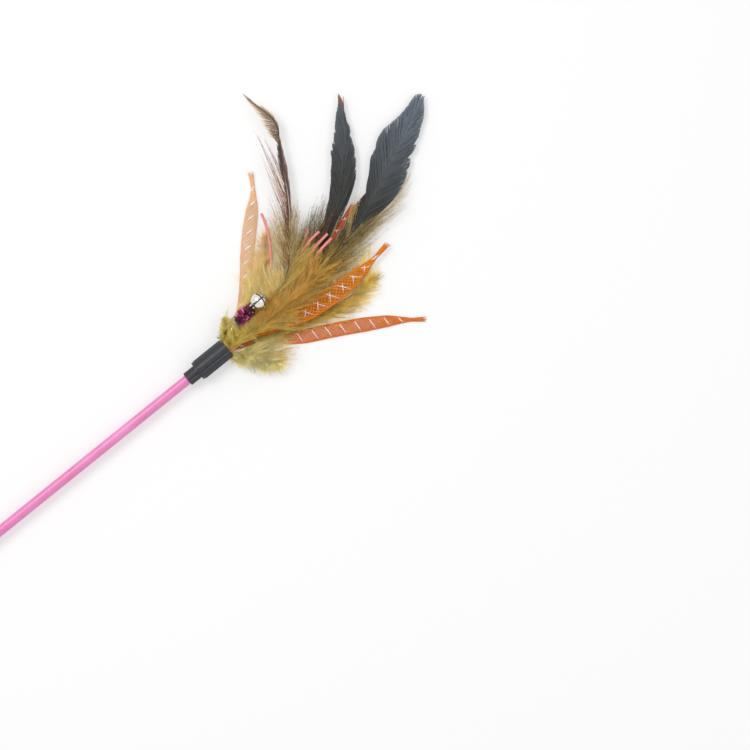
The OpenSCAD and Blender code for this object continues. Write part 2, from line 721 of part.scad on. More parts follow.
rod();
ferrule();
glue_plug();
binding_thread();
stem_wire();
stem_tinsel();
bell_shell();
bell_eyelet();
bell_pea();
mesh_tube_left();
mesh_tube_right();
mesh_tube_lower();
mesh_tube_back();
pink_lace_1();
pink_lace_2();
pink_lace_3();
pink_lace_4();
pink_lace_5();
barred_feather();
dark_feather_upper();
dark_feather_lower();
marabou_left_tuft();
marabou_right_tuft();
marabou_left_plume();
marabou_centre_plume();
marabou_right_plume();
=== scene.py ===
"""A cat teaser wand on a white table, photographed from straight above."""
import math

import bpy
import numpy as np
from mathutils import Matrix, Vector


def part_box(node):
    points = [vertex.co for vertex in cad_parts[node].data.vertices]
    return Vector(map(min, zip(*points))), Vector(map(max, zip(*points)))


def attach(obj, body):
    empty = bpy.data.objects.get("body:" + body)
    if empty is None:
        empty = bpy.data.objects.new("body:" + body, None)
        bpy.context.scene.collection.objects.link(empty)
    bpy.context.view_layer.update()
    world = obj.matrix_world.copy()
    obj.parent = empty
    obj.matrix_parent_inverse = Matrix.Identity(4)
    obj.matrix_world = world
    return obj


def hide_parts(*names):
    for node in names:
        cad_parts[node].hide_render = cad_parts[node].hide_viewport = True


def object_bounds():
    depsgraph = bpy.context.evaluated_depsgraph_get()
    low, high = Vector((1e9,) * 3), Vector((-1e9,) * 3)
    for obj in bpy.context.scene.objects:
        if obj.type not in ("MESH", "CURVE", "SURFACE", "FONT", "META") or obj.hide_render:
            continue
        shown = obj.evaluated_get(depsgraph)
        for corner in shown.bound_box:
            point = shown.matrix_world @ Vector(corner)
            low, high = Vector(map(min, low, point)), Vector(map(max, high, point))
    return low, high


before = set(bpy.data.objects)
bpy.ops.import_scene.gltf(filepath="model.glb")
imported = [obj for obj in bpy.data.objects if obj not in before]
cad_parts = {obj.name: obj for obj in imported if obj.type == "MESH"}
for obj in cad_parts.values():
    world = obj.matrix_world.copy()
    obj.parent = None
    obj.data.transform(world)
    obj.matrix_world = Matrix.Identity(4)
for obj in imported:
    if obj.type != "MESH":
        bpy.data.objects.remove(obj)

cad_low, cad_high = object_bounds()

MM = 0.001
# Lengths below are millimetres from the ferrule's mouth: X along the rod, Y to its left, Z up
MOUTH_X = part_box("ferrule")[1].x
FLOOR_Z = cad_low.z
LOWEST = FLOOR_Z / MM + 0.16
SKIN_LOWEST = LOWEST - 0.1
UP = np.array([0.0, 0.0, 1.0])

# The stems' honeycomb in the ferrule, as the construction has it
STEM_PITCH = 1.65
ROW_H = STEM_PITCH * math.sin(math.radians(60))
FERRULE_R = 5.25
FAN_L = 22.0
STEM_SEAT = 6.0

# Room that the swinging bell keeps free of hair: middles of the ball over its swing
BELL_PIN = np.array([23.8, 7.7, 2.858])
BELL_REACH = 4.9
BELL_TILTS = (58.0, 76.0, 93.0)
BELL_ROOM = 4.6
# The tinsel's stretch of the wire, and how far down the hair below it stays
TINSEL_X = (11.6, 21.9)
TINSEL_Y = 6.8
TINSEL_R = 3.3
TINSEL_FLOOR = 0.7
# Past this X the tinsel stays below this height, where the bell swings over it
TINSEL_LOW_X, TINSEL_LOW_Z = 18.8, 3.8


def rgb(code):
    """Linear colour from an eight-bit one, as six hexadecimal digits."""
    parts = np.array([int(code[k:k + 2], 16) for k in (0, 2, 4)]) / 255.0
    return np.where(parts <= 0.04045, parts / 12.92, ((parts + 0.055) / 1.055) ** 2.4)


def hues(codes):
    """A palette, each colour as six hexadecimal digits."""
    return [rgb(code) for code in codes.split()]


def placed(name, data, location=(0, 0, 0), turn=(0, 0, 0)):
    """Puts new data into the scene as an object."""
    obj = bpy.data.objects.new(name, data)
    obj.location, obj.rotation_euler = location, turn
    bpy.context.scene.collection.objects.link(obj)
    return obj


# Lines

TRAIL_STEPS = 120
EDGE_STEPS = 60


def rows(text):
    """Rows of numbers from text such as "1,2 3,4"."""
    return np.array([[float(number) for number in row.split(",")] for row in text.split()])


def arc_shares(line):
    """Share of a line's length at each of its points."""
    runs = np.linalg.norm(np.diff(line, axis=0), axis=1)
    total = np.concatenate([[0.0], np.cumsum(runs)])
    return total / total[-1]


def along(line, shares):
    """Points at shares of a line's length."""
    at = arc_shares(line)
    return np.stack([np.interp(shares, at, line[:, k]) for k in range(line.shape[1])], axis=-1)


def headings_at(line, shares):
    """Unit headings at shares of a line's length."""
    ahead = along(line, np.clip(shares + 0.01, 0, 1)) - along(line, np.clip(shares - 0.01, 0, 1))
    return ahead / np.linalg.norm(ahead, axis=-1, keepdims=True)


def smoothed(points, steps):
    """A Catmull-Rom line through points, at even shares of its length."""
    pts = np.array(points, float)
    pts = np.vstack([2 * pts[0] - pts[1], pts, 2 * pts[-1] - pts[-2]])
    t = np.linspace(0, 1, 12, endpoint=False)[:, None]
    runs = []
    for a, b, c, d in zip(pts, pts[1:], pts[2:], pts[3:]):
        runs.append(0.5 * (2 * b + (c - a) * t + (2 * a - 5 * b + 4 * c - d) * t**2
                           + (3 * b - a - 3 * c + d) * t**3))
    runs.append(pts[-2][None, :])
    return along(np.vstack(runs), np.linspace(0, 1, steps))


def seat(column, row):
    """Centre of a stem in the honeycomb."""
    return STEM_PITCH * column, ROW_H * row


def trail(place, length, headings, lifts):
    """Centreline of a soft piece from its seat in the ferrule, as the construction lays it.

    By shares of its length: headings in degrees, and lifts in shares of the ferrule's radius."""
    shares = (np.arange(TRAIL_STEPS) + 0.5) / TRAIL_STEPS
    turn = np.radians(np.interp(shares, *rows(headings).T))
    flat = np.cumsum(np.stack([np.cos(turn), np.sin(turn)], 1), axis=0) * length / TRAIL_STEPS
    flat = np.vstack([[0.0, 0.0], flat]) + [0.0, place[0]]
    t = np.linspace(0, 1, TRAIL_STEPS + 1)
    out = np.clip(t * length / FAN_L, 0, 1)
    height = FERRULE_R * np.interp(t, *rows(lifts).T) - place[1]
    z = place[1] + height * out * out * (3 - 2 * out)
    stem = np.array([[-STEM_SEAT, place[0], place[1]], [-STEM_SEAT / 2, place[0], place[1]]])
    return np.vstack([stem, np.column_stack([flat, z])])


def edge(points, z_from, z_to):
    """A rim through points "x,y x,y" with heights that run evenly from one to another."""
    return np.column_stack([smoothed(rows(points), EDGE_STEPS), np.linspace(z_from, z_to, EDGE_STEPS)])


# Strands

def clear_of_bell(paths):
    """Pushes points out of the room that the bell swings in, and up from the table."""
    for tilt in BELL_TILTS:
        turn = math.radians(tilt)
        middle = BELL_PIN + BELL_REACH * np.array([math.cos(turn), 0.0, math.sin(turn)])
        off = paths - middle
        far = np.linalg.norm(off, axis=-1, keepdims=True)
        paths = np.where(far < BELL_ROOM, middle + off / np.maximum(far, 0.01) * BELL_ROOM, paths)
    by_tinsel = ((paths[..., 0] > TINSEL_X[0] - 0.6) & (paths[..., 0] < TINSEL_X[1] + 1.4)
                 & (np.abs(paths[..., 1] - TINSEL_Y) < TINSEL_R))
    paths[..., 2] = np.where(by_tinsel, np.minimum(paths[..., 2], TINSEL_FLOOR), paths[..., 2])
    paths[..., 2] = np.maximum(paths[..., 2], LOWEST)
    return paths


def unit(vectors):
    return vectors / np.maximum(np.linalg.norm(vectors, axis=-1, keepdims=True), 1e-9)


def strand_sides(paths):
    """Level and upright directions square to each strand at each of its points."""
    ahead = unit(np.gradient(paths, axis=1))
    level = np.cross(UP, ahead)
    steep = np.linalg.norm(level, axis=-1, keepdims=True) < 0.05
    level = unit(np.where(steep, np.array([0.0, 1.0, 0.0]), level))
    return level, np.cross(ahead, level)


def tube_faces(steps, sides):
    """Skin and ends of a strand of rings: their corners, and each corner's spot in a UV cell."""
    step, side = np.arange(steps - 1)[:, None], np.arange(sides)[None, :]
    after = (side + 1) % sides
    low, high = step * sides, (step + 1) * sides
    quads = np.stack([low + side, low + after, high + after, high + side], -1).reshape(-1, 4)
    spots = np.zeros((steps - 1, sides, 4, 2))
    spots[..., 0] = (side[..., None] + [0.1, 0.9, 0.9, 0.1]) / (sides + 1)
    spots[..., 1] = (step[..., None] + [0.1, 0.1, 0.9, 0.9]) / (steps - 1)
    ends = np.stack([side[0, ::-1], (steps - 1) * sides + side[0]])
    turn = side[0] * 2 * math.pi / sides
    disc = np.stack([np.cos(turn), np.sin(turn)], -1) * 0.3 / (sides + 1)
    middle = (sides + 0.5) / (sides + 1)
    end_spots = np.array([[middle, 0.25], [middle, 0.75]])[:, None, :] + disc
    return [(quads, spots.reshape(-1, 4, 2)), (ends, end_spots)]


def hair_faces():
    """The three sides and the foot of a pointed hair, likewise."""
    corner = np.array([[0.02, 0.1], [0.22, 0.1], [0.12, 0.9]])
    spots = corner + np.array([[0.0, 0.0], [0.25, 0.0], [0.5, 0.0], [0.75, 0.0]])[:, None, :]
    return [(np.array([[0, 1, 3], [1, 2, 3], [2, 0, 3], [2, 1, 0]]), spots)]


class Strands:
    """Many thin strands that become one mesh, each with its own cell of a square UV map."""

    def __init__(self):
        self.tubes, self.hairs = [], []

    def add(self, paths, half_width, half_height, tints, sides=3, tilt=None, free=False):
        """Paths (n, steps, 3), half widths and heights (steps) or (n, steps), tints (n, 3) or
        (n, steps, 3). Strands stay out of the bell's room, unless they are free."""
        count, steps = paths.shape[:2]
        paths = paths if free else clear_of_bell(paths.copy())
        wide = np.broadcast_to(half_width, (count, steps))
        high = np.broadcast_to(half_height, (count, steps))
        if tints.ndim == 2:
            tints = np.repeat(tints[:, None, :], steps, axis=1)
        level, upright = strand_sides(paths)
        if tilt is not None:
            c, s = np.cos(tilt)[:, None, None], np.sin(tilt)[:, None, None]
            level, upright = level * c + upright * s, upright * c - level * s
        turn = np.arange(sides) * 2 * math.pi / sides
        ring = (paths[:, :, None, :]
                + level[:, :, None, :] * (wide[:, :, None] * np.cos(turn))[..., None]
                + upright[:, :, None, :] * (high[:, :, None] * np.sin(turn))[..., None])
        ring[..., 2] = np.maximum(ring[..., 2], SKIN_LOWEST)
        tints = np.repeat(tints[:, :, None, :], sides, axis=2)
        self.tubes.append((ring.reshape(count, -1, 3), tints, tube_faces(steps, sides), sides > 4))

    def add_hairs(self, roots, tips, half_width, tints):
        """Straight hairs that run to a point: roots and tips (n, 3), tints (n, 3)."""
        lines = clear_of_bell(np.stack([roots, tips], axis=1))
        level, upright = strand_sides(lines)
        turn = np.arange(3) * 2 * math.pi / 3
        foot = (lines[:, :1] + level[:, :1] * (half_width * np.cos(turn))[None, :, None]
                + upright[:, :1] * (half_width * 0.6 * np.sin(turn))[None, :, None])
        foot[..., 2] = np.maximum(foot[..., 2], SKIN_LOWEST)
        points = np.concatenate([foot, lines[:, 1:]], axis=1)
        self.hairs.append((points, np.repeat(tints[:, None, :], 4, axis=1), hair_faces(), False))

    def build(self, name, material):
        """Joins all strands, with their tint on the points."""
        batches = self.tubes + self.hairs
        cells = math.ceil(math.sqrt(sum(len(points) for points, *_ in batches)))
        corners, sizes, maps, smooth = [], [], [], []
        strand_count = vert_count = 0
        for points, _, face_sets, is_round in batches:
            n, each = points.shape[:2]
            strand = strand_count + np.arange(n)
            cell = np.stack([strand % cells, strand // cells], -1)[:, None, None]
            base = (vert_count + np.arange(n) * each)[:, None, None]
            for faces, spots in face_sets:
                corners.append((base + faces).ravel())
                maps.append(((cell + spots) / cells).ravel())
                sizes.append(np.full(n * len(faces), faces.shape[1]))
                smooth.append(np.full(n * len(faces), is_round))
            strand_count += n
            vert_count += n * each
        verts = np.vstack([batch[0].reshape(-1, 3) for batch in batches]) * MM + [MOUTH_X, 0, 0]
        tints = np.vstack([batch[1].reshape(-1, 3) for batch in batches])
        sizes = np.concatenate(sizes)
        mesh = bpy.data.meshes.new(name)
        mesh.vertices.add(len(verts))
        mesh.vertices.foreach_set("co", verts.astype(np.float32).ravel())
        mesh.loops.add(sizes.sum())
        mesh.loops.foreach_set("vertex_index", np.concatenate(corners).astype(np.int32))
        mesh.polygons.add(len(sizes))
        mesh.polygons.foreach_set("loop_start", (np.cumsum(sizes) - sizes).astype(np.int32))
        mesh.update(calc_edges=True)
        uv = mesh.uv_layers.new(name="OFBake").data
        uv.foreach_set("uv", np.concatenate(maps).astype(np.float32))
        layer = mesh.attributes.new("tint", "FLOAT_COLOR", "POINT").data
        layer.foreach_set("color", np.insert(tints, 3, 1, axis=1).astype(np.float32).ravel())
        mesh.polygons.foreach_set("use_smooth", np.concatenate(smooth))
        mesh.materials.append(material)
        mesh.validate()
        return placed(name, mesh)


def strand_mesh(name, strands, material, node):
    """Builds strands as a piece that rides on the wand in place of a CAD node."""
    obj = strands.build(name, material)
    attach(obj, "wand")
    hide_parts(node)


def taper(steps, root, middle, tip):
    """Half thickness along a strand."""
    return np.interp(np.linspace(0, 1, steps), [0, 0.5, 1], [root, middle, tip])


def bent_lines(start, control, end, steps):
    """Quadratic bends from arrays of starts over controls to ends."""
    t = np.linspace(0, 1, steps)[None, :, None]
    return ((1 - t) ** 2 * start[:, None] + 2 * t * (1 - t) * control[:, None] + t**2 * end[:, None])


# Above 1, few barbs fall far short of the rim
SHORT_SKEW = 1.3


def fan(rng, axis, roots, rim, count, steps, bend, scatter, short, rise):
    """Barbs from a stretch of an axis to a rim; they leave it square and lean forward."""
    share = (np.arange(count) + rng.uniform(0.05, 0.95, count)) / count
    at = roots[0] + (roots[1] - roots[0]) * share
    start = along(axis, at)
    end = along(rim, share)
    end = start + (end - start) * (1 - short * rng.uniform(0, 1, count) ** SHORT_SKEW)[:, None]
    end = end + rng.normal(0, 1, (count, 3)) * [scatter, scatter, rise]
    reach = np.linalg.norm(end - start, axis=1, keepdims=True)
    control = (start + end) / 2 - headings_at(axis, at) * bend * reach
    control = control + rng.normal(0, 0.05, (count, 3)) * reach
    return bent_lines(start, control, end, steps), share


# Hairs lie flatter than round, and the ones at a barb's tip are shorter by this share
HAIR_FLAT = [1, 1, 0.5]
HAIR_FADE = 0.4


def barbules(rng, lines, each, reach, lean):
    """Side hairs all round each barb: their roots and tips, their barbs and places on them."""
    owner = np.repeat(np.arange(len(lines)), each)
    count = len(owner)
    share = rng.uniform(0, 0.995, count)
    place = share * (lines.shape[1] - 1)
    low = np.minimum(place.astype(int), lines.shape[1] - 2)
    a, b = lines[owner, low], lines[owner, low + 1]
    start = a + (b - a) * (place - low)[:, None]
    ahead = unit(b - a)
    around = rng.normal(0, 1, (count, 3)) * HAIR_FLAT
    around = unit(around - ahead * np.sum(around * ahead, axis=1, keepdims=True)) * HAIR_FLAT
    lean_by = np.radians(rng.uniform(lean[0], lean[1], count))[:, None]
    long = (reach * rng.uniform(0.45, 1.15, count) * (1 - HAIR_FADE * share))[:, None]
    tip = start + long * (np.cos(lean_by) * ahead + np.sin(lean_by) * around)
    return start, tip, owner, share


def blended(palette, tones):
    """Colours from a list at tones between 0 and 1."""
    stops = np.linspace(0, 1, len(palette))
    table = np.array(palette)
    return np.stack([np.interp(tones, stops, table[:, k]) for k in range(3)], axis=-1)


# Materials

GRAIN_DEPTH = 0.00005


class Graph:
    """A node tree that is filled node by node."""

    def __init__(self, tree):
        self.nodes, self.links = tree.nodes, tree.links

    def add(self, kind, inputs=None, **settings):
        """A new node; each input takes another node's socket or a plain value. Returns its outputs."""
        made = self.nodes.new("ShaderNode" + kind)
        for name, value in settings.items():
            setattr(made, name, value)
        for name, value in (inputs or {}).items():
            if isinstance(value, bpy.types.NodeSocket):
                self.links.new(value, made.inputs[name])
            else:
                made.inputs[name].default_value = value
        return made.outputs


def new_material(name):
    material = bpy.data.materials.new(name)
    material.use_nodes = True
    material.node_tree.nodes.clear()
    return material, Graph(material.node_tree)


def noise(graph, scale):
    """Noise in the object's own space, scale in waves a metre."""
    where = graph.add("TexCoord")["Object"]
    facts = {"Vector": where, "Scale": scale, "Detail": 3.0, "Roughness": 0.55}
    return graph.add("TexNoise", facts)["Fac"]


def spread(graph, value, low, high):
    """Maps noise, most of which lies within 0.3..0.7, to low..high."""
    facts = {"Value": value, "From Min": 0.3, "From Max": 0.7, "To Min": low, "To Max": high}
    return graph.add("MapRange", facts)["Result"]


def tinted(graph, scale, low, high):
    """The strands' own tint in a shade that wanders from low to high."""
    tint = graph.add("Attribute", attribute_name="tint")["Color"]
    shade = spread(graph, noise(graph, scale), low, high)
    return graph.add("VectorMath", {0: tint, "Scale": shade}, operation="SCALE")["Vector"]


def hair_material(name, roughness, through, gloss, patch):
    """Strands in their own tint: part of the light goes through them, and their shade wanders."""
    material, graph = new_material(name)
    colour = tinted(graph, patch, 0.9, 1.1)
    solid = graph.add("BsdfPrincipled", {
        "Base Color": colour, "Roughness": roughness, "Specular IOR Level": gloss})["BSDF"]
    clear = graph.add("BsdfTranslucent", {"Color": colour})["BSDF"]
    both = graph.add("MixShader", {"Fac": through, 1: solid, 2: clear})["Shader"]
    graph.add("OutputMaterial", {"Surface": both})
    return material


def solid_material(name, low, high, roughness, scale, metal=0.0, coat=0.0, bump=0.0, bump_scale=2000.0,
                   gloss=0.5):
    """A solid finish: two close shades, wandering roughness and, with bump, a fine grain."""
    material, graph = new_material(name)
    grain = noise(graph, scale)
    mixed = {"A": (*low, 1), "B": (*high, 1), "Factor": spread(graph, grain, 0, 1)}
    finish = {
        "Base Color": graph.add("Mix", mixed, data_type="RGBA")["Result"],
        "Metallic": metal, "Specular IOR Level": gloss, "Coat Weight": coat, "Coat Roughness": 0.2,
        "Roughness": spread(graph, grain, roughness * 0.85, roughness * 1.15)}
    if bump:
        relief = {"Strength": bump, "Distance": GRAIN_DEPTH, "Height": noise(graph, bump_scale)}
        finish["Normal"] = graph.add("Bump", relief)["Normal"]
    graph.add("OutputMaterial", {"Surface": graph.add("BsdfPrincipled", finish)["BSDF"]})
    return material


def dress(node, material):
    """Gives a CAD node its finish."""
    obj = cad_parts[node]
    obj.data.materials.clear()
    obj.data.materials.append(material)


# Camera, light and table

CAMERA_H = 1.2
CAMERA_SEES = (0.1, 10.0)
PICTURE_W = 0.3659
SENSOR = 36.0
VIEW_X, VIEW_Y = 0.4225, -0.0557
ROD_TURN = -38.9

# The sky's light on the object; seen straight, in metal or through glass it is plain white
SKY_LEVEL = 0.68
# Name, place beside the picture's middle, size and power of each soft lamp
LAMPS = [("key_light", (-0.2, 0.7, 1.0), 0.5, 5.4), ("fill_light", (0.5, -0.5, 1.1), 0.6, 2.0)]
TABLE_HALF = 3.0
TABLE_GREY = 0.95
# Share of plain white in the table as it is seen; the rest takes the light and the shadows
TABLE_WHITE = 0.4


def add_camera():
    data = bpy.data.cameras.new("camera")
    data.sensor_width = SENSOR
    data.lens = SENSOR * CAMERA_H / PICTURE_W
    data.clip_start, data.clip_end = CAMERA_SEES
    camera = placed("camera", data, (VIEW_X, VIEW_Y, CAMERA_H), (0, 0, math.radians(ROD_TURN)))
    bpy.context.scene.camera = camera


def seen_rays(graph):
    """1 for rays that show a surface, also in a mirror or through glass, and 0 for its light."""
    ray = graph.add("LightPath")
    shown = ray["Is Camera Ray"]
    for other in ("Is Glossy Ray", "Is Transmission Ray"):
        shown = graph.add("Math", {0: shown, 1: ray[other]}, operation="MAXIMUM")["Value"]
    return shown


def add_lamp(name, beside, size, power):
    """A square soft light aimed at the picture's middle."""
    data = bpy.data.lights.new(name, "AREA")
    data.shape = "SQUARE"
    data.size = size
    data.energy = power
    x, y, z = beside
    turn = (math.atan2(math.hypot(x, y), z), 0, math.atan2(x, -y))
    placed(name, data, (VIEW_X + x, VIEW_Y + y, z), turn)


def add_light():
    scene = bpy.context.scene
    scene.view_settings.view_transform = "Standard"
    world = bpy.data.worlds.new("studio")
    scene.world = world
    world.use_nodes = True
    graph = Graph(world.node_tree)
    sky = graph.nodes["Background"]
    sky.inputs["Color"].default_value = (1, 1, 1, 1)
    level = {"Value": seen_rays(graph), "To Min": SKY_LEVEL, "To Max": 1.0}
    graph.links.new(graph.add("MapRange", level)["Result"], sky.inputs["Strength"])
    for lamp in LAMPS:
        add_lamp(*lamp)


def add_table():
    """A white table, which the camera sees almost shadowless, as in the photograph."""
    mesh = bpy.data.meshes.new("table")
    corners = [(-1, -1), (1, -1), (1, 1), (-1, 1)]
    mesh.from_pydata([(x * TABLE_HALF, y * TABLE_HALF, FLOOR_Z) for x, y in corners], [], [(0, 1, 2, 3)])
    material, graph = new_material("table_white")
    matt = graph.add("BsdfDiffuse", {"Color": (TABLE_GREY, TABLE_GREY, TABLE_GREY, 1)})["BSDF"]
    white = graph.add("Emission", {"Color": (1, 1, 1, 1)})["Emission"]
    share = graph.add("Math", {0: seen_rays(graph), 1: TABLE_WHITE}, operation="MULTIPLY")["Value"]
    both = graph.add("MixShader", {"Fac": share, 1: matt, 2: white})["Shader"]
    graph.add("OutputMaterial", {"Surface": both})
    mesh.materials.append(material)
    placed("table", mesh)


add_camera()
add_light()
add_table()

# Suede laces

LACE_D = 1.3
LACE_SIDES = 12
LACE_STEPS = 90
# Width and height of its soft square, as shares of its size, and its slight twist to and fro
LACE_WIDE, LACE_HIGH, LACE_TWIST = 0.94, 0.86, 0.5
SQUARENESS = 4.0
LACE_PINK = rgb("f09e9a")
LACE_DEEP = rgb("e8807c")
# Sideways place and height of each stem, and the points of its lace past the mouth
LACE_ROUTES = {
    "pink_lace_1": (1.65, 0,
        "5,2.3,0 10,3.9,0 15,5.8,0 20,7.8,0.1 25,9.8,0.3 30,11.6,0.5 35,13.6,0.6 38.5,15.2,0.6 "
        "41.5,17.6,0.5 44,20.6,0.4 46.8,24.4,0.3 49,28,0.2 51,32,0.1 52.7,36,0 54,40.5,-0.1"),
    "pink_lace_2": (0.825, 1.43,
        "6,1,1.43 13,1.4,1.43 20,1.9,1.43 26,2.5,1.43 32,3.2,1.43 38,4.2,1.43 43,5.8,1.43 48,8,1.43 "
        "53,10.6,1.43 57,12.6,1.43 61,14.3,1.43 65,15.3,1.4 70.5,15.8,1.3"),
    "pink_lace_3": (-0.825, 1.43,
        "7,-0.7,1.43 14,-0.4,1.43 21,0.1,1.43 28,0.8,1.43 35,1.7,1.43 41,2.9,1.43 46,4.5,1.43 "
        "51,6.3,1.43 56,8.4,1.43 61,10.2,1.4 67,11.6,1.35 73,12.4,1.3"),
    "pink_lace_4": (-2.475, 1.43,
        "7,-2.4,1.43 14,-2.15,1.43 21,-1.7,1.43 27,-1.15,1.43 33,-0.4,1.43 39,0.6,1.43 44.5,2,1.43 "
        "50,3.7,1.43 56,5.8,1.42 62,7.6,1.4 67.5,8.8,1.35 73,9.4,1.3"),
    "pink_lace_5": (0, 0,
        "8,0.2,0 16,0.8,0 24,1.9,0 32,3.3,0 40,5.6,0 46,8.5,0 51,11.2,0 55,13.4,0 59,15.4,0 62,16.8,0.1 "
        "64.5,18.4,0.2 67,20.8,0.3"),
}


def add_lace(name, y, z, past, material):
    """A soft square suede lace swept along its stem and past it."""
    stem = [[-STEM_SEAT, y, z], [-STEM_SEAT / 2, y, z], [0, y, z]]
    line = smoothed(np.vstack([stem, rows(past)]), LACE_STEPS)
    level, upright = strand_sides(line[None])
    turn = (np.arange(LACE_SIDES) + 0.5) * 2 * math.pi / LACE_SIDES
    fat = (np.abs(np.cos(turn)) ** SQUARENESS + np.abs(np.sin(turn)) ** SQUARENESS) ** (-1 / SQUARENESS)
    wide = fat * np.cos(turn) * LACE_D / 2 * LACE_WIDE
    high = fat * np.sin(turn) * LACE_D / 2 * LACE_HIGH
    twist = LACE_TWIST * np.sin(np.linspace(0, 5, LACE_STEPS))[:, None]
    a = wide * np.cos(twist) - high * np.sin(twist)
    b = wide * np.sin(twist) + high * np.cos(twist)
    rings = line[:, None, :] + level[0][:, None] * a[..., None] + upright[0][:, None] * b[..., None]
    verts = (rings.reshape(-1, 3) * MM + [MOUTH_X, 0, 0]).tolist()
    loops = np.arange(LACE_STEPS * LACE_SIDES).reshape(LACE_STEPS, LACE_SIDES).tolist()
    faces = [(low[k], low[(k + 1) % LACE_SIDES], high[(k + 1) % LACE_SIDES], high[k])
             for low, high in zip(loops, loops[1:]) for k in range(LACE_SIDES)]
    faces += [loops[0][::-1], loops[-1]]
    mesh = bpy.data.meshes.new(name + "_suede")
    mesh.from_pydata(verts, [], faces)
    mesh.polygons.foreach_set("use_smooth", np.ones(len(faces), bool))
    mesh.materials.append(material)
    obj = placed(name + "_suede", mesh)
    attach(obj, "wand")
    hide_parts(name)


suede = solid_material("suede_pink", LACE_DEEP, LACE_PINK, 0.9, 900.0, bump=0.6, bump_scale=6000.0)
for lace_name, lace_route in LACE_ROUTES.items():
    add_lace(lace_name, *lace_route, suede)

# Rod, ferrule, bell and wire

dress("rod", solid_material("rod_pink", rgb("df77af"), rgb("e68ec2"), 0.35, 60.0, coat=0.2))
dress("ferrule", solid_material("ferrule_black", rgb("26272d"), rgb("2e2f36"), 0.36, 300.0, gloss=0.4))
dress("glue_plug", solid_material("glue_clear", rgb("e8e3b4"), rgb("ede9cc"), 0.35, 500.0))
dress("binding_thread", solid_material("thread_cream", rgb("e8e5d8"), rgb("eeece6"), 0.8, 4000.0))
steel = solid_material("wire_steel", rgb("e3e1dc"), rgb("ebeae9"), 0.25, 900.0, metal=1.0)
dress("stem_wire", steel)
chrome = solid_material("bell_chrome", rgb("dedad2"), rgb("e6e2dc"), 0.09, 500.0, metal=1.0,
                        bump=0.05, bump_scale=900.0)
dress("bell_shell", chrome)
dress("bell_eyelet", chrome)
dress("bell_pea", solid_material("pea_steel", rgb("918e8c"), rgb("b4b2ad"), 0.3, 700.0, metal=1.0))

# Tinsel

MAGENTA = hues("483a3a 704050 d0528e f7b0e0")


def foil_material():
    material, graph = new_material("tinsel_foil")
    facts = {"Base Color": tinted(graph, 2500.0, 0.8, 1.2), "Metallic": 0.75, "Roughness": 0.3}
    graph.add("OutputMaterial", {"Surface": graph.add("BsdfPrincipled", facts)["BSDF"]})
    return material


def add_tinsel():
    """Foil slivers that stand out all round the wire's straight leg."""
    rng = np.random.default_rng(31)
    count = 620
    x = rng.uniform(TINSEL_X[0] + 0.2, TINSEL_X[1] - 0.6, count)
    turn = rng.uniform(-0.35, math.pi + 0.35, count)
    core = np.column_stack([x, np.full(count, TINSEL_Y), np.full(count, BELL_PIN[2])])
    out = unit(np.column_stack([rng.normal(0, 0.35, count), np.cos(turn) + 0.25, np.sin(turn)]))
    swell = np.sin(np.clip((x - TINSEL_X[0] + 1) / (TINSEL_X[1] - TINSEL_X[0] + 1.4), 0,
                           1) * math.pi) ** 0.5
    reach = (rng.uniform(1.4, 4.7, count) * swell)[:, None]
    start = core + out * 0.42
    end = core + out * reach * [1, 1, 0.6]
    end[:, 2] = np.where(end[:, 0] > TINSEL_LOW_X, np.minimum(end[:, 2], TINSEL_LOW_Z), end[:, 2])
    control = (start + end) / 2 + rng.normal(0, 0.35, (count, 3))
    paths = bent_lines(start, control, end, 4)
    tints = blended(MAGENTA, np.clip(rng.beta(1.1, 2.8, count) * 0.55 + (reach[:, 0] - 2.5) * 0.3, 0, 1))
    strands = Strands()
    strands.add(paths, taper(4, 0.18, 0.3, 0.14), 0.03, tints, sides=4,
                tilt=rng.uniform(0, math.pi, count), free=True)
    strand_mesh("tinsel_foil", strands, foil_material(), "stem_tinsel")


add_tinsel()

# Net tubes

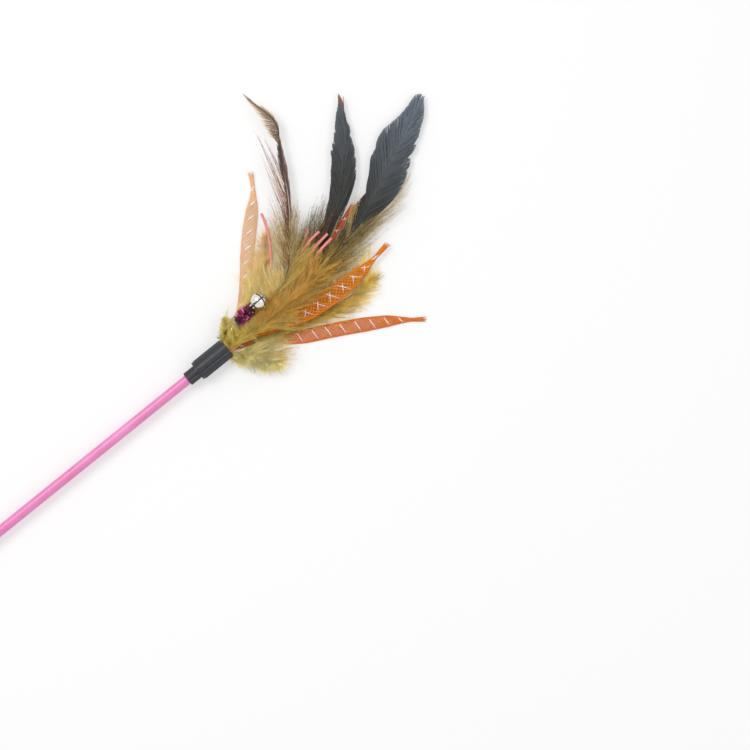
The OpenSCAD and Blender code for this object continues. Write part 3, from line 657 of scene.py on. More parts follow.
TUBES = {
    "mesh_tube_left": dict(
        place=seat(1.5, -1), length=85, width=3.3,
        headings="0,12 0.1,29 0.18,32 0.27,39 0.36,45 0.5,48 0.7,44 0.82,44 0.88,51 0.95,59 1,60",
        lifts="0,-0.4 0.3,-0.87 1,-0.87",
        widths="0,0.19 0.08,0.2 0.2,0.5 0.32,0.75 0.5,0.98 0.7,1 0.8,0.85 0.87,0.45 0.92,0.25 0.96,0.28 "
               "1,0.36",
        palette=hues("ec964c fac684 fff0d0"), stitch="along", thread=0.145),
    "mesh_tube_right": dict(
        place=seat(-1, 0), length=93, width=4.2,
        headings="0,-4 0.1,-9 0.2,-15 0.33,-18.5 0.45,-12 0.5,-4 0.6,-3.4 0.72,0 0.8,4 0.88,8 1,10",
        lifts="0,0 0.6,0.05 1,-0.4",
        widths="0,0.15 0.1,0.25 0.25,0.6 0.4,0.85 0.55,1 0.7,0.98 0.8,0.7 0.87,0.35 0.92,0.2 1,0.28",
        palette=hues("cc5509 e87e0e f1a81f"), stitch="cross", thread=0.2),
    "mesh_tube_lower": dict(
        place=seat(-1.5, -1), length=96, width=3.4,
        headings="0,-8 0.08,-18 0.18,-31 0.28,-38 0.37,-30 0.45,-26 0.6,-28.5 0.8,-31 0.9,-37 1,-37",
        lifts="0,-0.4 0.3,-0.87 1,-0.87",
        widths="0,0.18 0.1,0.3 0.2,0.6 0.3,0.85 0.4,1 0.7,1 0.82,0.8 0.9,0.4 0.94,0.22 1,0.3",
        palette=hues("c05022 e4742e f2a04c"), stitch="steep", thread=0.22),
    "mesh_tube_back": dict(
        place=seat(0, -2), length=93, width=1.9,
        headings="0,0 0.1,2 0.3,7.5 0.55,9.5 0.75,13 0.87,17 1,22",
        lifts="0,-0.55 1,-0.6",
        widths="0,0.32 0.1,0.4 0.3,0.8 0.5,1 0.8,0.95 0.93,0.6 1,0.5",
        palette=hues("ce522a de6c3c ea8e5a"), stitch="cross", thread=0.16),
}
GATHER_R = 0.6
NET_HALF_T = 0.5
NET_THREADS = 24
NET_STEPS = 170
# Half widths of a tube that a thread takes for a turn, and the share of such turns that it makes
NET_TURN, NET_SLOWED = 4.1, 0.8
STITCH_PITCH = 7.2
STITCH_LIFT = 0.16
STITCH_R = {"cross": 0.15, "along": 0.3, "steep": 0.2}
# How purple a stroke ends: 0.5 is near white and 1 is purple
STITCH_END = {"cross": 0.85, "along": 0.55, "steep": 0.85}
STITCHES = {
    # Ends of each stroke, [along, across] from its middle in shares of the tube's half width
    "cross": [([-0.54, 0.62], [0.54, -0.75]), ([0.08, 0.5], [-0.52, -0.5])],
    "along": [([-0.36, 0.4], [0.36, -0.38])],
    "steep": [([-0.4, 0.7], [0.3, -0.8])],
}
SILVER = hues("f4f2f2 fefcfc 9a6ba8")


def tube_point(line, wide, high, share, turn):
    """Points on a flattened tube's skin at shares of its length and turns round it."""
    at = along(line, share)
    ahead = headings_at(line, share)
    level = unit(np.cross(UP, ahead))
    upright = np.cross(ahead, level)
    w = np.interp(share, np.linspace(0, 1, len(wide)), wide)[..., None]
    h = np.interp(share, np.linspace(0, 1, len(high)), high)[..., None]
    return at + level * w * np.cos(turn)[..., None] + upright * h * np.sin(turn)[..., None]


def add_tube(name, place, length, width, headings, lifts, widths, palette, stitch, thread, seed):
    rng = np.random.default_rng(seed)
    line = trail(place, length, headings, lifts)
    share = np.linspace(0, 1, NET_STEPS)
    past = np.clip((share * (length + STEM_SEAT) - STEM_SEAT) / length, 0, 1)
    open_by = np.clip(past * length / FAN_L, 0, 1)
    open_by = open_by * open_by * (3 - 2 * open_by)
    wide = GATHER_R + (width * np.interp(past, *rows(widths).T) - GATHER_R) * open_by
    high = GATHER_R + (NET_HALF_T * np.interp(past, [0, 0.85, 0.92, 1], [1, 1, 0.6,
                                                                         0.8]) - GATHER_R) * open_by
    turns = 2 * math.pi * (length + STEM_SEAT) / (NET_TURN * width)
    strands = Strands()
    for hand in (1, -1):
        start = np.arange(NET_THREADS) * 2 * math.pi / NET_THREADS
        reach = np.sqrt(np.clip(width / wide, 0.4, 2.2))
        swept = np.cumsum(reach) / reach.sum()
        angle = start[:, None] + hand * turns * NET_SLOWED * swept[None, :]
        angle = angle + rng.normal(0, 0.02, angle.shape)
        paths = tube_point(line, wide, high, np.broadcast_to(share, angle.shape), angle)
        # Every second thread is painted darker: painted shade that stands for the shaded gaps between the
        # threads and draws the net's diamonds
        painted_gap_shade = np.where(np.arange(NET_THREADS) % 2, 0.82, 0.12)
        tints = blended(palette, np.clip(painted_gap_shade + rng.normal(0, 0.1, NET_THREADS), 0, 1))
        strands.add(paths, thread, 0.07, tints)
    for side in (0.0, math.pi):
        angle = side + np.linspace(-0.12, 0.12, 4)[:, None] + np.zeros((4, NET_STEPS))
        paths = tube_point(line, wide * 1.01, high, np.broadcast_to(share, angle.shape), angle)
        strands.add(paths, 0.12, 0.1, blended(palette, np.array([0.0, 0.1, 0.2, 0.1])))
    fray(rng, strands, line, wide, high, palette)
    add_stitches(rng, strands, line, wide, high, length, width, stitch)
    strand_mesh(name + "_net", strands, net_material, name)


def fray(rng, strands, line, wide, high, palette):
    """Loose thread ends past the tube's cut end."""
    count = 26
    share = np.full(count, 0.995)
    angle = rng.uniform(0, 2 * math.pi, count)
    start = tube_point(line, wide, high, share, angle)
    ahead = headings_at(line, share)
    aside = start - along(line, share)
    reach = rng.uniform(0.6, 2.4, count)[:, None]
    end = start + ahead * reach + aside * rng.uniform(0.0, 0.6, count)[:, None]
    paths = bent_lines(start, (start + end) / 2 + rng.normal(0, 0.15, (count, 3)), end, 4)
    strands.add(paths, 0.07, 0.06, blended(palette, rng.uniform(0, 1, count)))


def add_stitches(rng, strands, line, wide, high, length, width, stitch):
    """Silver strokes over the net, which darken to purple at one end."""
    middles = np.arange(STITCH_PITCH * 0.9, length * 0.93, STITCH_PITCH) + STEM_SEAT
    share = middles / (length + STEM_SEAT)
    for a, b in STITCHES[stitch]:
        t = np.linspace(0, 1, 6)
        lengthways = a[0] + (b[0] - a[0]) * t
        across = a[1] + (b[1] - a[1]) * t
        at = share[:, None] + lengthways[None, :] * width / (length + STEM_SEAT)
        at = np.clip(at + rng.normal(0, 0.002, (len(share), 1)), 0, 0.98)
        turn = np.arccos(np.clip(across, -0.97, 0.97))[None, :] + np.zeros_like(at)
        tones = np.interp(t, [0, 0.5, 1], [0.3, 0.45, STITCH_END[stitch]])
        tints = blended(SILVER, np.broadcast_to(tones, at.shape))
        for side in (turn, -turn):
            paths = tube_point(line, wide, high + STITCH_LIFT, at, side)
            strands.add(paths, STITCH_R[stitch], 0.07, tints, sides=4)


net_material = hair_material("net_thread", 0.5, 0.12, 0.12, 700.0)
for tube_seed, (tube_name, facts) in enumerate(TUBES.items()):
    add_tube(tube_name, seed=50 + tube_seed, **facts)

# Feathers

vane_material = hair_material("feather_vane", 0.6, 0.1, 0.15, 260.0)
down_material = hair_material("feather_down", 0.8, 0.6, 0.1, 160.0)
RACHIS_STEPS, QUILL_STEPS, VANE_STEPS, DOWN_STEPS = 90, 60, 9, 8
VANE_RISE = 0.03
# How far a split pulls the barbs beside it, and how deep and wide it notches the rim
SPLIT_PULL, SPLIT_REACH, NOTCH_DEPTH, NOTCH_W = 0.4, 0.02, 0.15, 0.012


def open_splits(paths, share, splits):
    """Draws barbs away from each split, so that the vane opens there and its rim is notched."""
    t = np.linspace(0, 1, paths.shape[1])[None, :, None] ** 4
    ahead = unit(paths[-1, -1] - paths[0, -1])
    for split, gap in splits:
        off = share - split
        near = np.exp(-np.abs(off) / SPLIT_REACH) * np.sign(off) * SPLIT_PULL * gap
        paths = paths + near[:, None, None] * t * ahead
        back = np.exp(-((off / NOTCH_W) ** 2)) * NOTCH_DEPTH * gap
        paths = paths - (paths - paths[:, :1]) * back[:, None, None] * t
    return paths


def outside(points, partings):
    """True for points that lie off every parting, seen from above: a line [x, y] and its half width."""
    free = np.ones(len(points), bool)
    for line, radius in partings:
        for a, b in zip(line, line[1:]):
            run = b - a
            t = np.clip((points[:, :2] - a) @ run / (run @ run), 0, 1)
            gap = np.linalg.norm(points[:, :2] - a - t[:, None] * run, axis=1)
            free &= gap > radius
    return free


def shaded(palette, far, turn_x, tones, x):
    """Colours from one palette near the mouth that turn into another further out."""
    near = blended(palette, tones)
    if far is None:
        return near
    part = np.clip((x - turn_x[0]) / (turn_x[1] - turn_x[0]), 0, 1)[:, None]
    return near * (1 - part) + blended(far, tones) * part


class Feather:
    """A feather or plume: its own random draws, its shaft's line and the strands laid on it."""

    def __init__(self, seed, line):
        self.rng, self.line, self.strands = np.random.default_rng(seed), line, Strands()

    def rachis(self, root_r, tip_r, palette, lift=0.0):
        """The feather's shaft over its quill."""
        share = np.linspace(0, 1, RACHIS_STEPS)
        path = along(self.line + [0, 0, lift], share)
        radius = np.interp(share, [0, 0.3, 1], [root_r, root_r * 0.8, tip_r])
        self.strands.add(path[None], radius, radius, blended(palette, share)[None], sides=8)

    def quill(self):
        """The stem of a plume: stout in the ferrule, and a thin shaft under the down past it."""
        path = along(self.line, np.linspace(0, 0.97, QUILL_STEPS))
        size = np.interp(path[:, 0], [-STEM_SEAT, 0, 5, 60], [0.5, 0.5, 0.2, 0.06])
        self.strands.add(path[None], size, size, np.array([OLIVE[0]]), sides=8)

    def vane(self, roots, rim, count, palette, tone, splits=(), bend=0.07, half_width=0.32, scatter=0.1,
             short=0.04, tip_tone=0.15):
        """A closed vane: flat barbs side by side from the shaft to the rim."""
        rng, steps = self.rng, VANE_STEPS
        paths, share = fan(rng, self.line, roots, rim, count, steps, bend, scatter, short, VANE_RISE)
        order = np.argsort(share)
        paths, share = paths[order], share[order]
        paths = open_splits(paths, share, splits)
        paths[..., 2] += rng.uniform(-0.015, 0.015, count)[:, None]
        tones = np.clip(tone(share) + rng.normal(0, 0.014, count), 0, 1)
        tones = np.clip(tones[:, None] + tip_tone * np.linspace(-0.3, 1, steps)[None, :] ** 3, 0, 1)
        self.strands.add(paths, taper(steps, half_width, half_width, half_width * 0.35), 0.035,
                         blended(palette, tones), sides=4)

    def fluff(self, roots, rim, count, palette, far=None, turn_x=(22, 42), each=38, reach=3.2,
              tone=(0.3, 0.8), short=0.72, scatter=1.2, rise=0.9, lean=(10, 48), lift_by=0.0, arch=0.0,
              bend=0.18, barb_r=0.07, hair_w=0.05, partings=(), bare=(), axis=None):
        """Down: soft barbs with each so many hairs of their own; far is the palette past turn_x.

        No barb or hair crosses a parting, and no hair a bare place."""
        rng, steps = self.rng, DOWN_STEPS
        axis = self.line if axis is None else axis
        paths, _ = fan(rng, axis, roots, rim, count, steps, bend, scatter, short, rise)
        t = np.linspace(0, 1, steps)
        paths[..., 2] += t * lift_by + np.sin(t * math.pi) * arch
        wave = rng.normal(0, 0.15, (count, 1, 3)) * np.sin(t * 7)[None, :, None]
        paths = paths + wave * t[None, :, None]
        paths = paths[outside(paths[..., :2].reshape(-1, 2), partings).reshape(count, steps).all(axis=1)]
        tones = np.clip(rng.uniform(tone[0], tone[1], len(paths)), 0, 1)
        self.strands.add(paths, taper(steps, barb_r, barb_r * 0.8, barb_r * 0.3), barb_r * 0.6,
                         shaded(palette, far, turn_x, tones, paths[:, steps // 2, 0]))
        root, tip, owner, place = barbules(rng, paths, each, reach, lean)
        off = (*partings, *bare)
        kept = outside(root, off) & outside(tip, off) & outside((root + tip) / 2, off)
        root, tip, owner, place = root[kept], tip[kept], owner[kept], place[kept]
        hair_tones = np.clip(tones[owner] + rng.normal(0, 0.16, len(owner)) + 0.2 * (place - 0.5), 0, 1)
        self.strands.add_hairs(root, tip, hair_w, shaded(palette, far, turn_x, hair_tones, root[:, 0]))

    def finish_vane(self, node):
        strand_mesh(node + "_vane", self.strands, vane_material, node)

    def finish_down(self, name, slot_name):
        strand_mesh(name + "_down", self.strands, down_material, "marabou_" + name)


# Dark vanes: near black at the base, lightening to a blue-grey at the light end; that blue-grey is a
# painted sheen
DARK_AND_SHEEN = hues("26231f 434342 6e7882 9eacb8")
BROWN = hues("3b3026 70553e a88255 e3c591")
RUST = hues("7e472b b2724c dca177")
OLIVE = hues("bb9a43 e5cc64 efe891 f7f2c7")
OLIVE_GREY = hues("776438 ae9256 dec27c eee0b0")
GOLD = hues("bc8c32 e5b850 f0da7c f7eab6")
PALE_GOLD = hues("d6aa3e ecd464 f5e894 faf3cc")
VEIL = hues("d8b254 f2d476 fae6a0 fdf3d0")
BEIGE = hues("dec08a f2daaa faeccc fdf7e6")
STRAW = hues("e8cc62 f6e688 fbf1ae fdf9d8")
DUSK = hues("372d21 665537 9a8755 ccbb82")
# Where the down parts and lets a net tube or the shaft show: lines and their half widths
LOWER_TUBE = [(rows("4.5,-3.8 8,-4.6 12,-6.2"), 0.9), (rows("16,-6.4 20,-8 24,-9.8"), 1.5)]
LEFT_TUBE = [(rows("12,11.6 17,14.8 22,18.6"), 1.7)]
BACK_TUBE = [(rows("74,9.6 79,10.9 85,13.2"), 1.2)]
BARRED_LINE = trail(
    seat(1.5, 1), 142,
    "0,1 0.1,3 0.2,6 0.27,14 0.31,33 0.35,43 0.44,50 0.55,56 0.66,63 0.73,60 0.78,54 0.82,60 0.85,80 "
    "0.88,100 0.92,106 0.96,104 1,92",
    "0,0.27 0.4,0.27 0.7,0.1 0.85,0.3 1,0.6")
# The shaft rises by this height through the down, from one share of its length over another
SHAFT_LIFT, LIFT_FROM, LIFT_OVER = 1.8, 0.1, 0.46
lift_share = np.clip((arc_shares(BARRED_LINE) - LIFT_FROM) / LIFT_OVER, 0, 1)
BARRED_LINE[:, 2] += SHAFT_LIFT * np.sin(lift_share * math.pi) ** 2
SHAFT = [(along(BARRED_LINE, np.linspace(0.27, 0.5, 9))[:, :2], 0.9)]


def add_dark_lower():
    feather = Feather(11, trail(
        seat(-0.5, -1), 159, "0,-1 0.2,1 0.3,5 0.4,9 0.47,11.5 0.54,15 0.62,22 0.7,29 0.8,25 0.9,21 1,22",
        "0,-0.27 0.5,-0.25 0.75,-0.05 1,-0.5"))
    # The shaft's blue-grey end matches the vanes' painted sheen
    feather.rachis(0.5, 0.12, hues("b4a885 484746 626a72"))
    upper = edge("80,7.5 85,10 90,13.5 95,15.5 100,16.4 104.4,17.2 107.2,18.9 109.2,22.2 111,26 "
                 "113.5,28.8 117,30.2 120,32.5 123,34.3 127,35.4 135,35.5 142,36.5 147,38 149.7,38.6 "
                 "152,36.8", -1.2, -2.4)
    lower = edge("76,1.5 82,2.2 90,3.5 100,4.5 110,5.5 118,8.5 124,12.3 130,17 135.5,20 142,25 145,27 "
                 "148,30 150.5,33.5 152,36.2", -1.6, -2.4)
    # Tones rise towards the tip, into the palette's painted blue-grey sheen
    tone = lambda u: 0.1 + 0.55 * u
    feather.vane((0.39, 0.93), upper, 430, DARK_AND_SHEEN, tone, [(0.3, 0.2)], bend=0)
    feather.vane((0.39, 0.93), lower, 430, DARK_AND_SHEEN, tone, [(0.57, 0.4), (0.65, 0.8), (0.735, 1)])
    haze = edge("66,-7 76,-7 86,-6 95,-3 104,0.5 112,1.5 116,4.5", -1.5, -1.5)
    feather.fluff((0.27, 0.47), haze, 285, OLIVE_GREY, each=28, reach=3.8, tone=(0.1, 0.7), short=0.6,
                  scatter=1.4, lift_by=0.5)
    band = edge("66,-2.5 76,-1.5 86,0 95,2.5 103,4 110,4.5", -0.4, -0.8)
    feather.fluff((0.25, 0.5), band, 247, DUSK, each=21, tone=(0.1, 0.9), scatter=0.9, barb_r=0.09)
    shade = edge("64,5 70,7.5 78,9.5 86,11 94,12", 0, -0.6)
    feather.fluff((0.25, 0.46), shade, 171, DUSK, each=17, reach=2.8, tone=(0, 0.6), scatter=0.7,
                  barb_r=0.09, partings=BACK_TUBE)
    blend = edge("62,0 68,1.5 74,4 78,7 76,10.5", 2.6, 2)
    feather.fluff((0.24, 0.42), blend, 152, GOLD, far=DUSK, turn_x=(58, 74), each=19, reach=3.4,
                  tone=(0.2, 0.6), short=0.5, rise=0.3, lean=(6, 30), partings=BACK_TUBE)
    wisps = edge("87,16 91,18.5 97,20 102,20.5", 0.6, 0)
    feather.fluff((0.41, 0.54), wisps, 114, OLIVE_GREY, each=17, scatter=1, lift_by=0.4,
                  partings=BACK_TUBE)
    loose = edge("112,-1.5 115,-1.5 113,1.5 120,5 122,9 126,11.3", -1.5, -1.5)
    rim_low = edge("84,1.5 94,2.8 104,4 112,5.5 118,9", -1.8, -2)
    feather.fluff((0.1, 0.95), loose, 57, OLIVE_GREY, each=7, reach=0.9, short=0.2, scatter=0.6,
                  axis=rim_low)
    feather.finish_vane("dark_feather_lower")


def add_dark_upper():
    feather = Feather(12, trail(
        seat(0.5, -1), 143, "0,2 0.2,4 0.28,8 0.43,14 0.5,21 0.55,29 0.62,39 0.7,45 0.8,49 0.9,53 1,53",
        "0,-0.27 0.5,-0.25 0.75,0 1,-0.35"))
    feather.rachis(0.5, 0.1, hues("b4a885 45403b 322d2d"))
    left = edge("72,17 75,18.5 80,21 85,26 90,31 95,37 98,40 100,43.5 105,47.5 108,50.5 113,55.5 115,57 "
                "119,61 120,62.5", -1, -1.8)
    right = edge("82,16.5 86,18.2 91.5,20 96.8,22.2 100.8,25.2 103.3,28 105.5,30.6 107.5,33.5 110,38 "
                 "112,43 114,46 115,50 116.5,53 118,57 119.5,60 120,62", -1.2, -1.8)
    # The same palette with a darker light end, so less of the painted blue-grey sheen towards the tip
    shades = [*DARK_AND_SHEEN[:3], rgb("667072")]
    tone = lambda u: 0.12 + 0.38 * u
    feather.vane((0.42, 0.93), left, 400, shades, tone, [(0.55, 0.4), (0.61, 0.8), (0.66, 0.6),
                                                         (0.74, 0.7)])
    feather.vane((0.42, 0.93), right, 400, shades, tone, [(0.42, 0.5), (0.52, 0.6), (0.68, 0.5)])
    rust = edge("114,53 116.5,57.5 118.5,61 120.2,63", -1.7, -1.8)
    feather.vane((0.87, 0.975), rust, 70, RUST, lambda u: 0.5 + 0 * u, half_width=0.14)
    tuft = edge("60,16 66,22 72,26 78,28 83,28 85,25", -0.4, -0.2)
    feather.fluff((0.31, 0.46), tuft, 323, DUSK, each=24, reach=3.5, tone=(0, 0.8), short=0.6,
                  scatter=1.4, lean=(6, 30), lift_by=0.4)
    patch = edge("66,15.5 72,17 78,18 84,19", -0.6, -0.5)
    feather.fluff((0.36, 0.5), patch, 171, hues("1f1d1a 453b32 74614a"), each=14, reach=3, scatter=0.8,
                  barb_r=0.1)
    under = edge("66,10 74,12 80,13.5 85,15", -0.9, -0.9)
    feather.fluff((0.38, 0.5), under, 114, hues("1f1d1a 554537 917455"), each=11, reach=0.9,
                  scatter=0.8, barb_r=0.09, partings=BACK_TUBE)
    red = edge("72,16 78,18.5 84,20.5", 0, 0)
    feather.fluff((0.38, 0.48), red, 49, RUST, each=8, reach=0.8, scatter=0.8, lift_by=0.4)
    feather.finish_vane("dark_feather_upper")


# Bundles of loose barbs on the barred feather: where they leave its shaft, tip x, tip y, barbs
BARRED_WISPS = [(0.36, 58.5, 41, 9), (0.39, 61.5, 44.5, 7), (0.41, 64.5, 46, 5), (0.44, 68.8, 53.5, 5),
                (0.47, 70.8, 55, 5), (0.49, 72.3, 65, 9), (0.53, 74.6, 60, 7), (0.56, 77, 75, 9),
                (0.6, 79, 70, 9)]


def add_barred():
    feather = Feather(13, BARRED_LINE)
    # The pale fifth colour is a painted highlight along that stretch of the shaft
    shaft = hues("86663c 745634 5c442c 563e2a d8c8b6 624e48 4a3c38 4a3c38")
    feather.rachis(0.5, 0.12, shaft, lift=0.5)
    veil = edge("20,9.5 25,14 29,18.5 33,22 38,22.5 42,19.5 44,15", 1.8, 1.2)
    feather.fluff((0.1, 0.33), veil, 304, VEIL, reach=3.8, tone=(0.2, 0.8), short=0.6, scatter=1.8,
                  lean=(6, 36), arch=1.4, partings=LEFT_TUBE)
    down = edge("40,14 44,20 48,26 51,31 54,35 58,37 62,40", 0.8, 0.8)
    feather.fluff((0.29, 0.48), down, 174, OLIVE_GREY, each=25, tone=(0.4, 1), short=0.5, bare=SHAFT)
    dusk = edge("41,9 46,14 51,20 56,26 61,32 65,38 67,42", 1.2, 0.9)
    feather.fluff((0.29, 0.49), dusk, 117, BROWN, each=16, reach=2.6, tone=(0.1, 0.7), short=0.3,
                  scatter=0.6, barb_r=0.09, bare=SHAFT)
    pale = edge("44,5 52,9.5 58,14 64,21 69,29 71,35 72,39", 3.2, 2.4)
    feather.fluff((0.22, 0.46), pale, 258, OLIVE_GREY, each=24, reach=3.4, tone=(0, 0.75), short=0.5,
                  scatter=1.3, arch=0.5, bare=SHAFT)
    over = edge("50,5 57,7.5 63,10.5 67,14 68,19", 3.6, 2.6)
    feather.fluff((0.2, 0.38), over, 114, GOLD, each=28, reach=3.6, tone=(0.2, 0.8), short=0.4,
                  lean=(6, 30), arch=0.8, bare=SHAFT)
    for start, tip_x, tip_y, count in BARRED_WISPS:
        ends = [[tip_x - 0.3, tip_y - 1.5], [tip_x + 0.3, tip_y + 1]]
        tip = np.column_stack([smoothed(ends, EDGE_STEPS), np.linspace(0.9, 1.0, EDGE_STEPS)])
        feather.fluff((start, start + 0.045), tip, count, RUST, each=6, reach=1, tone=(0, 0.8),
                      short=0.5, scatter=0.6, rise=0.2, bend=-0.02, barb_r=0.11, hair_w=0.07)
    left = edge("64,33 69,39.5 72,44.5 74.4,50 77,55.7 80.4,60.7 82.6,63.6", 0.6, 0.9)
    right = edge("67,34 70.9,39.5 74.9,45.5 78.8,51.6 81,56.6 83,61 84.6,63.8", 0.6, 0.9)
    blade = hues("302b2f 726464 a4806a d4a884")
    for rim, count, base, tip_tone in ((left, 145, 0.05, 0.45), (right, 140, 0.15, 0.85)):
        feather.vane((0.48, 0.77), rim, count, blade, lambda u: base + 0.1 * u, half_width=0.14,
                     scatter=0.25, tip_tone=tip_tone)
    tip_left = edge("82.8,64.5 81.2,67.5 80.9,71.5 82,76 82.5,80 82.6,84 83.3,90.8", 1.2, 3)
    tip_right = edge("87.2,68 88.3,71 88.7,75 88,78 86.5,82 85,84 84.2,88 83.6,90.8", 1.2, 3)
    leaf = hues("403836 826e60 d8be9e f8f0dc")
    for rim, roots in ((tip_left, (0.775, 0.955)), (tip_right, (0.81, 0.955))):
        feather.vane(roots, rim, 150, leaf, lambda u: 0.28 + 0.25 * u, half_width=0.15, scatter=0.25,
                     short=0.25, tip_tone=0.8)
    feather.finish_vane("barred_feather")


def rim_hairs(feather):
    """Short dark hairs that stand past the ferrule's rim."""
    rng = feather.rng
    count = 60
    x = rng.uniform(-0.5, 6, count)
    foot = np.column_stack([x, rng.uniform(5.4, 6.2, count), rng.uniform(0, 2.0, count)])
    reach = rng.uniform(0.8, 2.2, count)
    lean = rng.normal(1.9, 0.35, count)
    step = np.column_stack([np.cos(lean) * reach, np.sin(lean) * reach, rng.normal(0.2, 0.3, count)])
    feather.strands.add_hairs(foot, foot + step, 0.16, blended(DUSK, rng.uniform(0, 0.6, count)))


def plume(seed, place, length, headings, lifts):
    """A marabou feather with its quill, still without down."""
    feather = Feather(seed, trail(place, length, headings, lifts))
    feather.quill()
    return feather


def add_left_tuft():
    feather = plume(21, seat(2, 0), 13, "0,0 0.2,60 1,58", "0,0 1,-0.2")
    outer = edge("0,6 2,8 4,9.2 6,10.2 8,11 11,11.8", 2.5, 1.5)
    inner = edge("8,3 12,6 15,9 16,12 14,14", 4, 2)
    for rim, count, tone in ((outer, 121, (0.5, 1.0)), (inner, 114, (0.3, 0.8))):
        feather.fluff((0.3, 0.95), rim, count, OLIVE, each=28, reach=1.9, tone=tone, scatter=1,
                      rise=0.8, lean=(12, 50), lift_by=0.6, arch=1, partings=LEFT_TUBE)
    rim_hairs(feather)
    feather.finish_down("left_tuft", "down_olive")


def add_right_tuft():
    feather = plume(22, seat(-2, 0), 24, "0,-30 0.15,-50 0.5,-57 1,-55", "0,0 1,-0.3")
    outer = edge("0,-6.5 -0.3,-9 0.8,-12 3,-16 6.8,-20.5 10.5,-23.2 14,-24.5", 0, -1.5)
    inner = edge("12,-3 18,-7 24,-12 28,-17 27,-21.5 21,-24 14,-25", -0.5, -1.5)
    light = hues("c4b45c e8de90 f7f1c0 fcfae8")
    for rim in (outer, inner):
        feather.fluff((0.14, 0.95), rim, 437, light, far=GOLD, turn_x=(14, 28), reach=3, tone=(0.35, 1),
                      scatter=1.3, rise=1, lean=(8, 36), lift_by=0.4, partings=LOWER_TUBE)
    crest = along(feather.line, np.linspace(0.45, 1, 40)) + [0.5, -1.0, 1.2]
    feather.fluff((0.24, 0.8), crest, 76, light, reach=3, short=0.4, rise=0.6, lean=(8, 40), bend=0)
    feather.finish_down("right_tuft", "down_olive")


def add_left_plume():
    feather = plume(23, seat(1, -2), 65,
                    "0,6 0.15,14 0.3,23 0.45,32 0.6,40 0.8,46 1,48", "0,-0.58 1,-0.6")
    outer = edge("8,11 14,14.5 20,18 26,23 33,27.5 39,30 44,32 48,34", 0.6, -2)
    inner = edge("20,5 28,7 35,10 42,16 48.5,22.5 52.5,28 54,32 52,36", 1.2, -2)
    pale = hues("f0d660 f8e882 fcf1a8 fef8da")
    feather.fluff((0.12, 0.9), outer, 199, pale, far=BEIGE, turn_x=(30, 44), reach=3.6, scatter=1.8,
                  rise=0.7, arch=1.4, partings=LEFT_TUBE)
    feather.fluff((0.12, 0.9), inner, 228, pale, far=BEIGE, turn_x=(32, 48), reach=3.6, scatter=1.8,
                  rise=0.7, arch=2, bare=SHAFT)
    over = edge("18,9 24,12.5 30,16.5 36,20.5 42,25 47,30", 1.9, 0.8)
    feather.fluff((0.1, 0.55), over, 247, pale, far=BEIGE, turn_x=(28, 44), scatter=1, rise=0.4,
                  lean=(6, 32), arch=3.2, partings=LEFT_TUBE)
    feather.finish_down("left_plume", "down_olive")


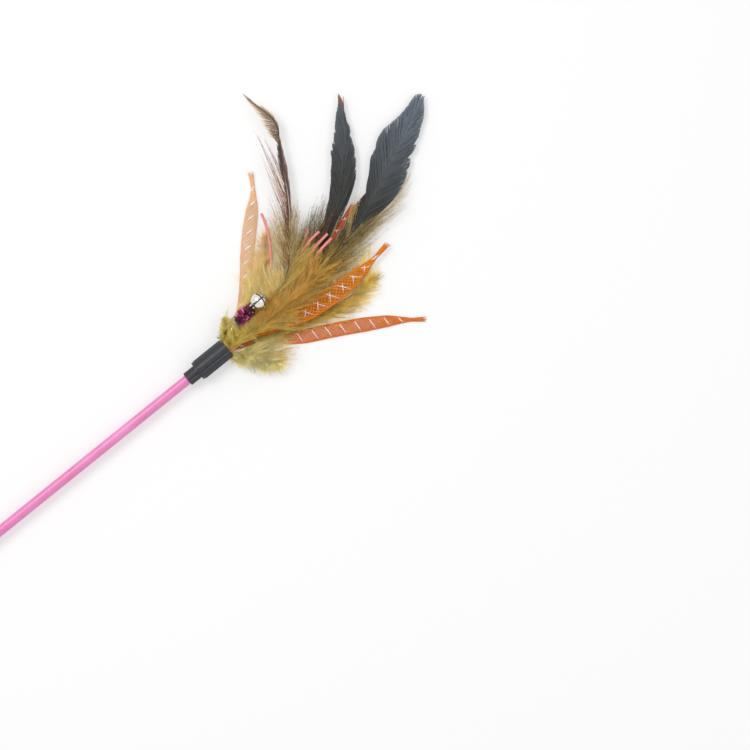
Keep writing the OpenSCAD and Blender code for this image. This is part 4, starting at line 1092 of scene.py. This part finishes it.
def add_centre_plume():
    feather = plume(24, seat(-1, 2), 59, "0,-1 0.2,-3 0.45,0 0.7,7 1,13", "0,0.8 0.4,1.02 1,1.02")
    wool_left = edge("0,5.5 5,6.5 12,6 20,5 28,6 36,8", 4.5, 4.5)
    wool_right = edge("5,-1 10,-3.5 16,-7.5 22,-9.5 30,-10 38,-9", 4, 4)
    for rim in (wool_left, wool_right):
        feather.fluff((0.09, 0.6), rim, 152, OLIVE, far=GOLD, turn_x=(8, 24), each=40, reach=2.6,
                      scatter=0.8, rise=0.8, lean=(20, 65), partings=LOWER_TUBE)
    crest = along(feather.line, np.linspace(0.2, 1, 60)) + [2.0, 0, 0.9]
    feather.fluff((0.05, 0.84), crest, 171, OLIVE, far=GOLD, turn_x=(8, 24), each=42, reach=4,
                  short=0.4, scatter=1.5, rise=0.7, lean=(6, 32), bend=0, partings=LOWER_TUBE)
    collar = edge("4.5,3.5 6,1 6.5,-1.5 6,-3", 4.2, 2.6)
    feather.fluff((0.06, 0.13), collar, 64, OLIVE, each=28, reach=2.4, tone=(0, 0.5), short=0.6,
                  scatter=0.5, rise=0.4, lean=(10, 40))
    left = edge("18,5 28,6.5 38,5 46,7.5 54,9.5 61,10.5 69,9.5", 4, 2.4)
    right = edge("18,-9 27,-11 38,-10.5 50,-9.3 62,-8 78,-4", 3, 1.2)
    for rim in (left, right):
        feather.fluff((0.12, 0.98), rim, 201, OLIVE, far=GOLD, turn_x=(8, 24), each=42, reach=4,
                      short=0.55, scatter=1.6, rise=0.7, lean=(6, 32), partings=LOWER_TUBE, bare=SHAFT)
    apron = edge("26,-12.5 30,-14 35,-14.5 39,-13", 2.4, 1.6)
    feather.fluff((0.3, 0.56), apron, 79, OLIVE, far=GOLD, each=33, reach=3.4, tone=(0.3, 0.9),
                  short=0.5, rise=0.4, lean=(6, 34), partings=LOWER_TUBE)
    feather.finish_down("centre_plume", "down_gold")


def add_right_plume():
    feather = plume(25, seat(-1, -2), 80,
                    "0,-2 0.1,-8 0.2,-18 0.35,-22 0.5,-18 0.65,-13 0.8,-8 1,-2", "0,-0.6 1,-0.62")
    left = edge("20,-4 32,-4 45,-3 58,-1.5 70,0 80,0 87,-3", -2.4, -2)
    right = edge("18,-14 26,-15.5 36,-17 46,-20.5 54,-24.5 60,-27.5 70,-26.5 76,-23 82,-16", -2.5, -3)
    feather.fluff((0.15, 0.98), left, 418, PALE_GOLD, far=STRAW, turn_x=(50, 72), each=40, reach=4,
                  short=0.55, scatter=1.6, rise=0.6, lean=(8, 38), partings=LOWER_TUBE)
    feather.fluff((0.12, 0.98), right, 437, PALE_GOLD, far=STRAW, turn_x=(50, 72), each=40, reach=4,
                  tone=(0.1, 0.65), scatter=1.6, rise=0.6, lean=(8, 38))
    under = edge("7,-6 12,-8.5 18,-11.5 24,-14.5", -3.2, -3.8)
    feather.fluff((0.1, 0.27), under, 64, PALE_GOLD, each=33, reach=3, short=0.3, scatter=1, rise=0.2,
                  lean=(8, 40))
    bridge = edge("19,-10.5 24,-12.5 30,-14.5 36,-15.5", 0.6, 0.6)
    feather.fluff((0.14, 0.36), bridge, 57, OLIVE, far=GOLD, each=28, reach=2.6, tone=(0.4, 0.9),
                  short=0.4, scatter=0.8, rise=0.3, lean=(8, 36))
    feather.finish_down("right_plume", "down_gold")


add_dark_lower()
add_dark_upper()
add_barred()
add_left_tuft()
add_right_tuft()
add_left_plume()
add_centre_plume()
add_right_plume()
